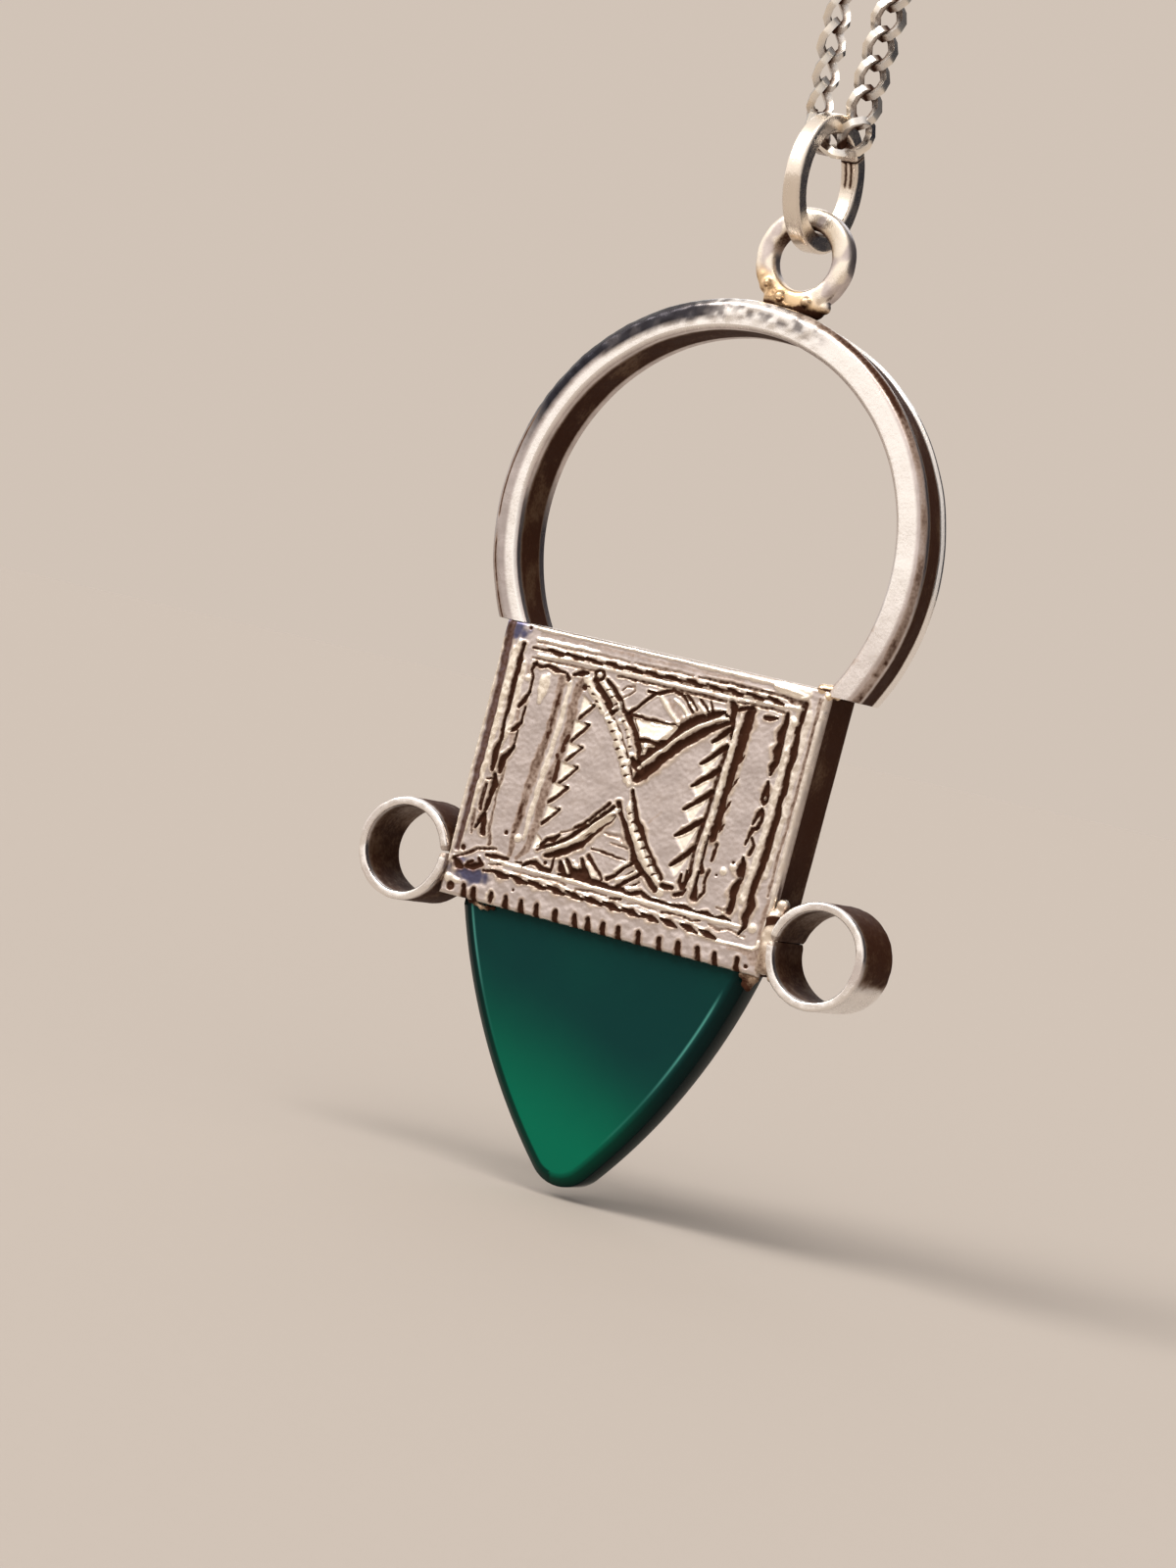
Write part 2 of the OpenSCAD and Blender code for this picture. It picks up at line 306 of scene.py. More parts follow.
# The four arms of the engraved X, from its upper left arm to its lower right one
ARM_CUTS = (
    (1, ((-3.08, 10.65, 0.16), (-2.7, 10.25, 0.26), (-2.2, 9.92, 0.2), (-1.95, 9.7, 0.14))),
    (1, ((-2.66, 10.9, 0.14), (-2.75, 11.08, 0.14), (-2.95, 11.12, 0.14), (-3.12, 10.98, 0.12),
         (-3.1, 10.78, 0.12), (-2.9, 10.68, 0.14), (-2.7, 10.75, 0.14), (-2.66, 10.9, 0.14))),
    (1, ((-2.25, 9.75, 0.12), (-1.85, 9.42, 0.2))),
    (1, ((-1.6, 9.66, 0.12), (-1.85, 9.45, 0.18), (-2.05, 9.2, 0.14))),
    (1, ((-2.45, 10.75, 0.16), (-2, 10.38, 0.26), (-1.55, 10, 0.14), (-1.38, 9.7, 0.15),
         (-1.1, 9.5, 0.24), (-0.7, 9.1, 0.24), (-0.45, 8.72, 0.26), (-0.2, 8.2, 0.24),
         (-0.05, 7.85, 0.2))),
    (1, ((-0.38, 7.66, 0.2), (-0.15, 7.5, 0.4), (0.08, 7.42, 0.3))),
    (0.8, ((-1.75, 9.2, 0.1), (-1.3, 8.7, 0.13), (-0.95, 8.2, 0.13), (-0.62, 7.7, 0.14),
           (-0.35, 7.2, 0.14), (-0.1, 6.8, 0.12))),
    (1, ((-0.05, 7.62, 0.24), (0.4, 8.15, 0.34), (0.8, 8.55, 0.36), (1.2, 8.97, 0.34),
         (1.6, 9.43, 0.36), (2, 9.78, 0.38), (2.6, 10.14, 0.34), (3.1, 10.38, 0.28),
         (3.5, 10.54, 0.12))),
    (1, ((0.02, 6.9, 0.32), (0.35, 7.2, 0.44), (0.75, 7.7, 0.42), (1.2, 8.2, 0.4), (1.7, 8.7, 0.38),
         (2.2, 9.12, 0.38), (2.8, 9.6, 0.36), (3.3, 9.95, 0.32), (3.75, 10.15, 0.22))),
    (1, ((3.6, 10.45, 0.1), (3.85, 10.25, 0.26))),
    (1, ((3.75, 11.05, 0.2), (3.88, 10.8, 0.36), (3.92, 10.5, 0.2), (4.02, 10.1, 0.15),
         (4.08, 9.5, 0.12))),
    (0.95, ((-0.95, 5.6, 0.13), (-1.3, 5.25, 0.15), (-1.7, 4.75, 0.15), (-2, 4.45, 0.15),
            (-2.35, 4.2, 0.13))),
    (1, ((-0.7, 5.5, 0.15), (-1.2, 5, 0.16), (-1.7, 4.5, 0.15), (-2.15, 4.1, 0.15), (-2.7, 3.6, 0.16),
         (-3.2, 3.3, 0.14), (-3.6, 3.1, 0.13), (-3.95, 2.95, 0.18))),
    (0.65, ((-2.4, 4.12, 0.1), (-3, 3.85, 0.09))),
    (1, ((-3.05, 3.7, 0.13), (-3.3, 3.5, 0.25), (-3.6, 3.4, 0.15), (-3.75, 3.2, 0.13),
         (-3.95, 3.05, 0.15))),
    (1, ((-0.6, 5.1, 0.16), (-0.9, 4.83, 0.28), (-1.25, 4.44, 0.31), (-1.6, 4.02, 0.28),
         (-1.88, 3.6, 0.34), (-2.4, 3.25, 0.28), (-3, 2.9, 0.26), (-3.5, 2.72, 0.17))),
    (1, ((-0.55, 5.72, 0.22), (-0.38, 5.35, 0.17), (-0.1, 5, 0.15), (0.12, 4.65, 0.24),
         (0.4, 4.25, 0.25), (0.65, 3.9, 0.17), (0.85, 3.5, 0.27), (1.2, 3.2, 0.22), (1.7, 2.85, 0.27),
         (2.15, 2.5, 0.23))),
    (1, ((0, 6.35, 0.14), (0.2, 5.85, 0.21), (0.45, 5.3, 0.24), (0.85, 4.68, 0.36), (1.1, 4.3, 0.27),
         (1.4, 3.9, 0.27), (1.8, 3.5, 0.25), (2.3, 3, 0.18))),
    (1, ((2.45, 2.72, 0.2), (2.9, 2.75, 0.17))),
    (1, ((3.1, 2.45, 0.17), (3.45, 2.6, 0.19), (3.6, 2.8, 0.1))),
    (1, ((3.2, 3.4, 0.1), (3.2, 3.05, 0.17), (3.4, 2.85, 0.27), (3.5, 3.3, 0.13), (3.45, 3.6, 0.08))),
)
# The fans of short cuts above and below the X
FAN_CUTS = (
    (0.65, ((-1.65, 10.45, 0.08), (-1.45, 10.68, 0.09), (-1.1, 10.75, 0.13), (-1.02, 10.6, 0.09),
            (-1.2, 10.4, 0.08), (-1.5, 10.15, 0.08))),
    (1, ((-1.15, 9.5, 0.17), (-0.75, 9.85, 0.13), (-0.35, 10.3, 0.13), (-0.02, 10.62, 0.15))),
    (1, ((-0.35, 10.7, 0.11), (0.1, 10.68, 0.13), (0.55, 10.88, 0.17), (0.9, 10.95, 0.11))),
    (0.95, ((-0.9, 9.56, 0.11), (0.2, 9.48, 0.17), (1, 9.5, 0.11), (1.42, 9.62, 0.11))),
    (1, ((-0.3, 8.55, 0.17), (0.2, 8.62, 0.2), (0.6, 8.55, 0.2), (0.95, 8.7, 0.15))),
    (1, ((0.2, 8.36, 0.12), (0.5, 8.3, 0.17))),
    (0.95, ((1, 10.92, 0.15), (1.4, 10.82, 0.15), (1.7, 10.5, 0.11), (1.98, 10.2, 0.11))),
    (0.95, ((1.55, 10.9, 0.13), (1.85, 10.65, 0.13), (2.15, 10.35, 0.09))),
    (0.95, ((2.2, 10.85, 0.11), (2.5, 10.65, 0.13), (2.75, 10.4, 0.11))),
    (0.9, ((2.72, 10.85, 0.09), (2.92, 10.5, 0.09), (2.98, 10.3, 0.07))),
    (1, ((-3.06, 2.7, 0.11), (-3.05, 2.15, 0.13))),
    (1, ((-2.68, 2.6, 0.15), (-2.55, 2.3, 0.3), (-2.35, 2.15, 0.2))),
    (1, ((-2.42, 2.78, 0.13), (-2.15, 2.48, 0.23), (-1.9, 2.3, 0.2))),
    (1, ((-1.95, 2.35, 0.3), (-1.5, 2.4, 0.4))),
    (1, ((-1.68, 2.98, 0.13), (-1.5, 2.6, 0.23), (-1.15, 2.25, 0.21))),
    (0.95, ((-1.42, 3.15, 0.18), (-1.05, 2.85, 0.13), (-0.7, 2.55, 0.11), (-0.5, 2.3, 0.11))),
    (0.85, ((-1.35, 3.5, 0.09), (-0.4, 3.46, 0.11), (0.4, 3.38, 0.09))),
    (0.5, ((-0.9, 4.32, 0.12), (-0.1, 4.3, 0.2), (0.1, 4.15, 0.1))),
    (0.65, ((-0.5, 3.96, 0.07), (0.4, 3.9, 0.1))),
    (1, ((-0.25, 2.42, 0.2), (0.1, 2.65, 0.13), (0.5, 3.1, 0.14), (0.95, 3.45, 0.15))),
    (1, ((0.3, 2.2, 0.18), (0.8, 2.6, 0.14), (1.4, 3.05, 0.17))),
    (0.75, ((0.45, 2.62, 0.08), (0.9, 3, 0.1))),
    (0.75, ((0.95, 2.35, 0.09), (1.3, 2.62, 0.11))),
)
# The broad upright cuts right of the X and along the right edge
RIGHT_CUTS = (
    (0.85, ((3.95, 9.1, 0.2), (3.86, 8, 0.16), (3.82, 7, 0.16), (3.72, 6, 0.18), (3.58, 5, 0.17),
            (3.55, 4.3, 0.15), (3.62, 3.5, 0.14), (3.5, 3, 0.1))),
    (1, ((4.12, 10.78, 0.15), (4.5, 10.95, 0.18), (4.72, 11, 0.15))),
    (1, ((4.72, 10.85, 0.4), (4.66, 10.4, 0.44), (4.6, 9.8, 0.42), (4.55, 9, 0.4), (4.48, 8.3, 0.35),
         (4.4, 7.75, 0.44), (4.36, 7.1, 0.33), (4.3, 6.45, 0.44), (4.34, 5.8, 0.35),
         (4.25, 5.25, 0.3))),
    (1, ((4.05, 5.25, 0.11), (4, 4.6, 0.17), (4.02, 4.1, 0.15), (4.15, 3.72, 0.19))),
    (1, ((4.02, 3.7, 0.11), (4, 3.1, 0.15), (4.02, 2.6, 0.32))),
    (0.9, ((4.55, 5, 0.15), (4.5, 4.3, 0.11))),
    (0.9, ((4.45, 3.85, 0.13), (4.38, 3.5, 0.11), (4.45, 2.9, 0.13), (4.2, 2.5, 0.11))),
    (1, ((6.4, 11.08, 0.2), (6.42, 10.65, 0.22), (6.34, 10.15, 0.36), (6.42, 9.82, 0.26),
         (6.34, 9.4, 0.38), (6.42, 9, 0.22), (6.28, 8.7, 0.28), (6.25, 8.4, 0.09))),
    (1, ((6.24, 8.1, 0.09), (6.25, 7.75, 0.3), (6.14, 7.5, 0.15), (6.16, 7.3, 0.15), (6.26, 7.14, 0.15),
         (6.38, 7.3, 0.15), (6.38, 7.55, 0.15), (6.28, 7.75, 0.2))),
    (1, ((6.25, 6.92, 0.11), (6.22, 6.8, 0.21), (6.08, 6.5, 0.17), (5.98, 6.2, 0.09))),
    (1, ((6.3, 6.85, 0.15), (6.36, 6.45, 0.15), (6.2, 6.05, 0.13))),
    (1, ((6.3, 6.15, 0.1), (6.05, 6, 0.17), (5.95, 5.65, 0.13), (5.85, 5.3, 0.09))),
    (1, ((6.1, 5.62, 0.1), (6.25, 5.35, 0.15), (6.18, 4.95, 0.17))),
    (1, ((5.92, 4.75, 0.1), (5.98, 4.5, 0.3), (5.95, 4.15, 0.4), (6.05, 3.9, 0.22), (5.9, 3.6, 0.26),
         (5.86, 3.2, 0.38), (5.9, 2.9, 0.26), (5.84, 2.45, 0.34))),
    (1, ((7.12, 11.62, 0.3), (7.1, 11, 0.25), (7.05, 10.4, 0.22), (7.1, 9.8, 0.27), (7.12, 9.35, 0.32),
         (7.05, 8.8, 0.23), (7.08, 8.2, 0.28), (7.05, 7.7, 0.28), (6.98, 7.3, 0.19), (7.05, 6.8, 0.28),
         (6.98, 6.1, 0.25), (6.93, 5.4, 0.28), (6.9, 4.9, 0.3), (6.85, 4.4, 0.26), (6.75, 3.9, 0.26),
         (6.68, 3.3, 0.22), (6.78, 2.85, 0.34), (6.65, 2.3, 0.28), (6.7, 1.95, 0.2),
         (6.5, 1.55, 0.08))),
    (0.6, ((7.75, 12, 0.1), (7.75, 11, 0.11), (7.72, 9.8, 0.11), (7.7, 8.6, 0.13), (7.62, 7.4, 0.13),
           (7.6, 6.4, 0.11), (7.5, 5.2, 0.11), (7.47, 3.4, 0.11))),
    (0.6, ((7.9, 12, 0.1), (7.86, 11.4, 0.14), (7.75, 10.9, 0.08))),
)
# Dark cuts along the bottom edge
BOTTOM_CUTS = (
    (1, ((-6.4, 2.1, 0.13), (-5.9, 2.12, 0.19), (-5.3, 2.16, 0.11))),
    (1, ((-4.9, 2.1, 0.07), (-4.6, 2.14, 0.11))),
    (1, ((-4.5, 2.04, 0.13), (-4.15, 2.25, 0.17), (-3.9, 2.3, 0.21), (-3.6, 2.12, 0.23),
         (-3.1, 2.12, 0.17))),
    (1, ((-2.65, 2.08, 0.11), (-1.9, 2.14, 0.17), (-1.2, 2.14, 0.24), (-0.6, 2.12, 0.22),
         (0, 2.06, 0.15), (0.45, 2.14, 0.2), (1, 2.04, 0.13), (1.5, 2.2, 0.22), (2, 2.06, 0.13),
         (3, 2.03, 0.09), (3.7, 2.1, 0.18), (4.3, 2, 0.07), (4.8, 2.08, 0.18), (5.2, 2, 0.07),
         (5.65, 2.1, 0.17), (6, 2, 0.06))),
    (0.65, ((5.2, 2.42, 0.07), (5.6, 2.38, 0.11), (6, 2.42, 0.07))),
    (0.95, ((-5.7, 0.16, 0.2), (-5.72, 0.34, 0.26), (-5.74, 0.52, 0.18))),
    (0.6, ((-6.2, 1.72, 0.07), (-5.5, 1.86, 0.13))),
    (0.6, ((-4.95, 1.72, 0.09), (-4, 1.7, 0.09), (-3, 1.78, 0.11), (-2.2, 1.7, 0.09))),
    (0.65, ((-1.7, 1.64, 0.11), (-1, 1.72, 0.13), (-0.1, 1.68, 0.09))),
    (0.85, ((0.1, 1.62, 0.11), (0.6, 1.72, 0.13))),
    (0.55, ((1, 1.6, 0.09), (1.6, 1.72, 0.11), (2.4, 1.6, 0.09))),
    (0.7, ((2.7, 1.6, 0.11), (3.4, 1.74, 0.13), (4.2, 1.6, 0.11), (4.6, 1.7, 0.09))),
    (0.6, ((5, 1.64, 0.07), (5.5, 1.5, 0.15), (6, 1.66, 0.09), (6.8, 1.5, 0.11))),
    (0.95, ((-6.4, 1.4, 0.1), (-5.9, 1.5, 0.12), (-5.5, 1.36, 0.12), (-4.9, 1.46, 0.11),
            (-4, 1.36, 0.1), (-1, 1.3, 0.09), (2, 1.24, 0.08))),
    (0.85, ((-7.95, 1.68, 0.11), (-7.4, 1.95, 0.13), (-6.9, 2.28, 0.15), (-6.4, 2.38, 0.11),
            (-6, 2.44, 0.1))),
    (1, ((-8, 1.6, 0.16), (-7.75, 1.42, 0.3), (-7.5, 1.3, 0.16))),
    (1, ((-7.3, 1.4, 0.13), (-7.22, 1.58, 0.15), (-7, 1.68, 0.11))),
    (1, ((-7.2, 1.4, 0.15), (-6.85, 1.5, 0.25), (-6.55, 1.62, 0.17), (-6.75, 1.85, 0.1))),
)
# Rows of like cuts: first and last middle, count, half length [x, z], width
CUT_ROWS = (
    ((-5.3, 11.42), (5.75, 11.5), 12, (0.42, -0.09), 0.22),
    ((-5.5, 1.42), (5.1, 1.22), 12, (0.44, -0.1), 0.28),
    ((4.8, 8.75), (4.6, 5.7), 4, (0.1, 0.22), 0.12),
    ((-1.2, 5.3), (-2.1, 4.32), 4, (0.1, 0.02), 0.1),
    ((-3.25, 10.3), (-2.5, 9.5), 4, (0.12, -0.02), 0.08),
    ((-2.3, 10.35), (-1.75, 9.85), 3, (0.1, 0.05), 0.08),
    ((-1.85, 9.0), (-0.5, 6.95), 7, (0.13, 0.05), 0.1),
    ((-1.2, 9.2), (-0.62, 8.2), 4, (0.1, 0.04), 0.08),
    ((0.15, 5.4), (1.9, 3.1), 8, (0.1, 0.08), 0.1),
)
# Teeth left of the X: tip, foot and root of each
LEFT_TEETH = (
    ((-2.85, 9.55), (-3.4, 8.88), (-3.5, 9.92)),
    ((-2.85, 8.68), (-3.52, 7.85), (-3.62, 8.75)),
    ((-2.95, 7.65), (-3.58, 6.95), (-3.7, 7.78)),
    ((-2.95, 6.75), (-3.62, 5.95), (-3.8, 6.85)),
    ((-3.2, 5.8), (-3.97, 5), (-3.95, 5.92)),
    ((-3.35, 4.8), (-4.05, 4), (-4, 4.9)),
)
# Teeth right of the X: root and tip of the dark cut, lowest and right corners of the bright facet
RIGHT_TEETH = (
    ((3.9, 9.85), (3.2, 9.2), (3.35, 8.75), (3.85, 9.45)),
    ((3.95, 9.15), (2.92, 8.18), (3.2, 7.68), (3.75, 8.7)),
    ((3.85, 8.1), (2.72, 7.18), (3.08, 6.72), (3.7, 7.8)),
    ((3.75, 7.1), (2.6, 6.12), (3.05, 5.62), (3.6, 6.75)),
    ((3.6, 5.85), (2.5, 4.95), (3, 4.32), (3.5, 5.5)),
    ((3.5, 4.6), (2.58, 3.65), (2.9, 3.2), (3.35, 4.1)),
)
# Soft brown stains: darkness, places
BROWN_STAINS = (
    (0.6, ((-4.7, 10.4, 0.4), (-4.65, 9.6, 0.34), (-4.72, 8.6, 0.38), (-4.8, 7.6, 0.34),
           (-4.98, 6.6, 0.44), (-5.08, 5.6, 0.44), (-5.18, 4.6, 0.36), (-5.27, 3.6, 0.34),
           (-5.28, 2.4, 0.26))),
    (0.6, ((-3.72, 10.4, 0.42), (-3.85, 9.6, 0.32), (-3.78, 8.7, 0.48), (-3.85, 7.7, 0.38),
           (-3.95, 6.9, 0.34), (-4.15, 6, 0.42), (-4.3, 5, 0.38), (-4.3, 4.2, 0.44), (-4.38, 3.5, 0.36),
           (-4.5, 2.8, 0.3), (-4.9, 2.3, 0.2))),
    (0.8, ((-4.63, 9.7, 0.08), (-4.68, 9.2, 0.18), (-4.7, 8.4, 0.16), (-4.8, 7.5, 0.2))),
    (0.75, ((-5.2, 4.8, 0.2), (-5.22, 4.1, 0.22), (-5.3, 3.4, 0.18))),
    (0.85, ((-4.27, 9.2, 0.14), (-4.3, 9, 0.16))),
    (1, ((-3.72, 8, 0.18), (-3.78, 7.75, 0.22))),
    (0.95, ((-3.9, 7.6, 0.14), (-3.85, 7.35, 0.24))),
    (0.95, ((-4.05, 7.1, 0.18), (-3.92, 6.85, 0.2), (-3.9, 6.2, 0.22), (-3.95, 5.9, 0.16))),
    (0.45, ((-6.45, 10.5, 0.3), (-6.42, 10.2, 0.24))),
    (0.5, ((-6.5, 8.5, 0.22), (-6.45, 8.2, 0.2))),
    (0.5, ((-6.5, 7.5, 0.26), (-6.45, 7.1, 0.22))),
    (0.4, ((0.75, 10.55, 0.2), (1.45, 9.85, 0.4))),
    (0.5, ((7.6, 3.2, 0.3), (7.55, 2.2, 0.36), (7.6, 1.2, 0.3), (7.75, 0.3, 0.26))),
    (0.45, ((6.2, 0.9, 0.18), (7.2, 0.95, 0.26), (7.5, 0.6, 0.36))),
    (0.4, ((1.3, 2.95, 0.2), (1.65, 2.7, 0.4))),
    (0.35, ((-6.2, 12.08, 0.14), (-1, 12.05, 0.16), (4, 12.02, 0.12))),
    (0.3, ((1.1, 5.2, 0.08), (1.6, 5.8, 0.12))),
)
# Raised lines that are rubbed bright, lightened also as a painted highlight: shine, places
BRIGHT_LINES = (
    (1, ((-6.35, 11.86, 0.14), (-5, 11.85, 0.13), (-3.2, 11.87, 0.09))),
    (1, ((-6.1, 11.17, 0.14), (-5.2, 11.19, 0.16), (-4.5, 11.25, 0.12))),
    (0.5, ((-4.4, 11.22, 0.12), (0, 11.2, 0.14), (3.5, 11.2, 0.16), (6.9, 11.38, 0.22))),
    (0.8, ((4.2, 11.42, 0.1), (5.6, 11.32, 0.12), (7, 11.44, 0.16))),
    (0.8, ((-6.4, 12.3, 0.16), (0, 12.3, 0.14), (5.5, 12.2, 0.2), (7.2, 12.1, 0.3))),
    (1, ((5.6, 12.08, 0.2), (6.4, 11.98, 0.3), (7.1, 11.94, 0.2))),
    (1, ((-7.2, 11.6, 0.2), (-7.32, 11, 0.32), (-7.4, 9.4, 0.32), (-7.48, 7.6, 0.3), (-7.55, 6, 0.28),
         (-7.68, 4.4, 0.26), (-7.78, 3, 0.2))),
    (0.95, ((-6.72, 10.65, 0.22), (-6.73, 9.2, 0.26), (-6.75, 8.1, 0.22), (-6.83, 7.4, 0.24),
            (-6.95, 6.95, 0.14))),
    (0.9, ((-4.22, 10.3, 0.2), (-4.28, 8.6, 0.22), (-4.42, 7.2, 0.24), (-4.6, 5.6, 0.26),
           (-4.72, 4.2, 0.22), (-4.75, 3.2, 0.18))),
    (1, ((-3.5, 10.65, 0.32), (-3.15, 10.2, 0.32), (-2.75, 9.9, 0.3), (-2.35, 9.4, 0.24))),
    (0.9, ((-2.62, 10.62, 0.2), (-2.3, 10.35, 0.26), (-1.95, 10.02, 0.2))),
    (0.8, ((-1.62, 9.9, 0.14), (-1.5, 9.45, 0.2))),
    (1, ((-1.28, 9.3, 0.15), (-1, 8.98, 0.18), (-0.75, 8.5, 0.16), (-0.6, 8.1, 0.15))),
    (0.9, ((0, 7.4, 0.16), (0.5, 7.9, 0.17), (1.05, 8.47, 0.17), (1.5, 8.95, 0.17), (2, 9.42, 0.18),
           (2.6, 9.83, 0.18), (3.2, 10.1, 0.16), (3.7, 10.3, 0.12))),
    (1, ((-0.5, 5.4, 0.16), (-1, 4.85, 0.24), (-1.5, 4.38, 0.24), (-2, 3.85, 0.24), (-2.7, 3.38, 0.2),
         (-3.5, 3.02, 0.14))),
    (0.9, ((4.3, 10.6, 0.14), (4.22, 9.6, 0.22), (4.15, 8, 0.22), (4.05, 6.6, 0.22), (3.92, 5.2, 0.2),
           (3.85, 4.2, 0.18), (3.8, 3, 0.16))),
    (0.75, ((6.7, 10.9, 0.24), (6.72, 9.6, 0.3), (6.72, 8, 0.3), (6.62, 6, 0.26), (6.45, 4, 0.26),
            (6.3, 2.9, 0.2))),
    (0.65, ((7.42, 11.3, 0.3), (7.4, 9.5, 0.26), (7.35, 7.5, 0.24), (7.3, 6, 0.24), (7.15, 4.2, 0.2))),
    (0.9, ((-6.1, 1.92, 0.12), (-3, 1.92, 0.12), (0, 1.88, 0.14), (3.7, 1.82, 0.18), (5.5, 1.84, 0.18),
           (6.5, 1.88, 0.12))),
    (1, ((4.7, 1.1, 0.1), (5.5, 1.05, 0.11), (7.3, 1.08, 0.11), (7.52, 1.22, 0.11),
         (7.52, 1.45, 0.09))),
    (0.9, ((-2.1, 9.25, 0.28), (-1.6, 8.72, 0.34), (-1.28, 8.25, 0.36), (-0.95, 7.75, 0.34),
           (-0.6, 7.15, 0.3), (-0.3, 6.6, 0.24))),
    (0.9, ((0, 5.75, 0.26), (0.3, 4.95, 0.32), (0.9, 4.12, 0.36), (1.5, 3.45, 0.34), (2.1, 2.82, 0.3))),
    (1, ((0.35, 10.55, 0.18), (0.9, 10.05, 0.22), (1.4, 9.65, 0.14))),
    (1, ((1, 10.6, 0.1), (1.45, 10.35, 0.15), (1.8, 10.02, 0.14))),
    (1, ((1.75, 10.62, 0.08), (2, 10.35, 0.11))),
    (1, ((2.15, 10.65, 0.1), (2.45, 10.45, 0.13), (2.6, 10.3, 0.1))),
    (0.9, ((2.6, 10.75, 0.06), (2.8, 10.5, 0.08))),
    (1, ((-2.5, 2.62, 0.08), (-2.25, 2.3, 0.12))),
    (1, ((-2.05, 2.78, 0.08), (-1.8, 2.55, 0.12))),
    (0.9, ((-1.35, 2.85, 0.14), (-0.9, 2.4, 0.2))),
    (0.8, ((0, 2.85, 0.1), (0.6, 3.3, 0.12))),
    (0.9, ((0.2, 2.45, 0.14), (0.7, 2.75, 0.14), (1.1, 3.05, 0.1))),
    (0.8, ((0.8, 2.2, 0.2), (1.2, 2.35, 0.14))),
    (1, ((-5.4, 10.35, 0.22), (-5.5, 10.1, 0.5), (-5.52, 9.75, 0.5), (-5.58, 9.45, 0.3),
         (-5.55, 9.2, 0.2))),
    (0.9, ((-8.2, 0.75, 0.3), (-7.9, 0.7, 0.36), (-7.5, 0.66, 0.2))),
    (0.95, ((-7.98, 12.3, 0.16), (-8.05, 9.5, 0.14), (-8.15, 6.3, 0.16), (-8.24, 3.6, 0.14),
            (-8.3, 1.5, 0.16))),
    (0.6, ((7.98, 12.1, 0.2), (7.9, 9.6, 0.2), (7.8, 6.4, 0.16), (7.74, 4, 0.2), (7.66, 1.8, 0.16))),
)
# Rows of bright crests, lightened also as a painted highlight, between the cuts of the two rope rows, as
# in CUT_ROWS
BRIGHT_ROWS = (
    ((-4.9, 11.56), (5.3, 11.62), 11, (0.3, -0.02), 0.12),
    ((-5.05, 1.58), (4.7, 1.4), 11, (0.32, -0.05), 0.15),
)
# Round beads and bosses: x, z, width
BEADS = (
    (-1.98, 9.12, 0.28), (-1.72, 8.95, 0.34), (-1.6, 8.68, 0.3), (-1.32, 8.5, 0.32), (-1.28, 8.2, 0.36),
    (-0.97, 7.95, 0.32), (-0.95, 7.65, 0.32), (-0.8, 7.4, 0.28), (-0.62, 7.12, 0.32), (-0.42, 6.78, 0.32),
    (-0.28, 6.6, 0.2), (-1.38, 9.15, 0.22), (-0.55, 7.5, 0.24), (-0.5, 7.85, 0.18), (-2.9, 10.9, 0.24),
    (0.02, 5.6, 0.28), (0.15, 5.25, 0.28), (0.25, 5, 0.22), (0.42, 4.72, 0.38), (0.65, 4.42, 0.32),
    (0.9, 4.15, 0.36), (1.15, 3.82, 0.34), (1.4, 3.55, 0.36), (1.7, 3.25, 0.34), (2, 2.95, 0.3),
    (2.4, 2.42, 0.36), (-1.42, 4.98, 0.14), (-1.82, 4.56, 0.14),
    (-5.05, 3.15, 0.32), (5.15, 3.97, 0.3), (5.55, 4.25, 0.32), (7.1, 1.95, 0.38),
    (-6.4, 10.08, 0.26), (6.27, 7.4, 0.12), (6.85, 10.8, 0.3),
)
# Flat cut facets, by their corners: the first two lie deepest
FACETS = (
    ((-0.9, 9.42), (1.42, 9.5), (1, 8.85), (0.6, 8.74), (0, 8.74), (-0.45, 8.88)),
    ((0, 8.52), (0.52, 8.46), (0.46, 8.37), (0.05, 8.34)),
    ((-0.08, 8.26), (0.18, 8.24), (0.12, 7.98), (-0.06, 7.95)),
    ((-4.2, 3.55), (-3.9, 3.35), (-4, 2.95), (-4.25, 2.9)),
)
# Slots filed into the bottom edge
SLOTS = (-7.12, -6.6, -4.92, -4.12, -3.32, -2.33, -1.35, -0.68, 0.1, 0.88, 1.87, 2.92, 3.88,
         4.84, 5.68, 6.76)
SLOT_HEIGHT = 0.6
SLOT_WIDTH = 0.3
SLOT_DEPTH = 0.26
# Small pits: x, z, radius
PITS = (
    (-5.68, 3.28, 0.12), (-7.65, 2.18, 0.15), (-7.87, 0.4, 0.24), (-3.48, 10.26, 0.18),
    (-3.45, 2.42, 0.11), (-6.82, 12.25, 0.1), (7.2, 0.32, 0.12), (-4.7, 0.9, 0.08), (5.5, 4.45, 0.1),
    (4.85, 3.75, 0.08),
)
# The smooth channel between the left rim and the first raised line, darkened with painted shade
CHANNEL = ((-7.8, 12.3, 0.3), (-7.75, 9, 0.3), (-7.8, 6.5, 0.32), (-7.88, 4, 0.28), (-7.95, 2.1, 0.22))
# Bluish stains: x, z, reach [x, z], strength
BLOTS = ((-7.15, 1.15, (1.15, 0.55), 1), (-7.65, 12.05, (0.95, 0.75), 1), (-6.75, 1.6, (0.5, 0.5), 0.5))
# How far a stroke wavers, and how deep or high the single shapes are
STROKE_WAVER = 0.035
FACET_DEPTH = 0.12
TOOTH_DEPTH = 0.1
PIT_DEPTH = 0.09
BEAD_HEIGHT = 0.06


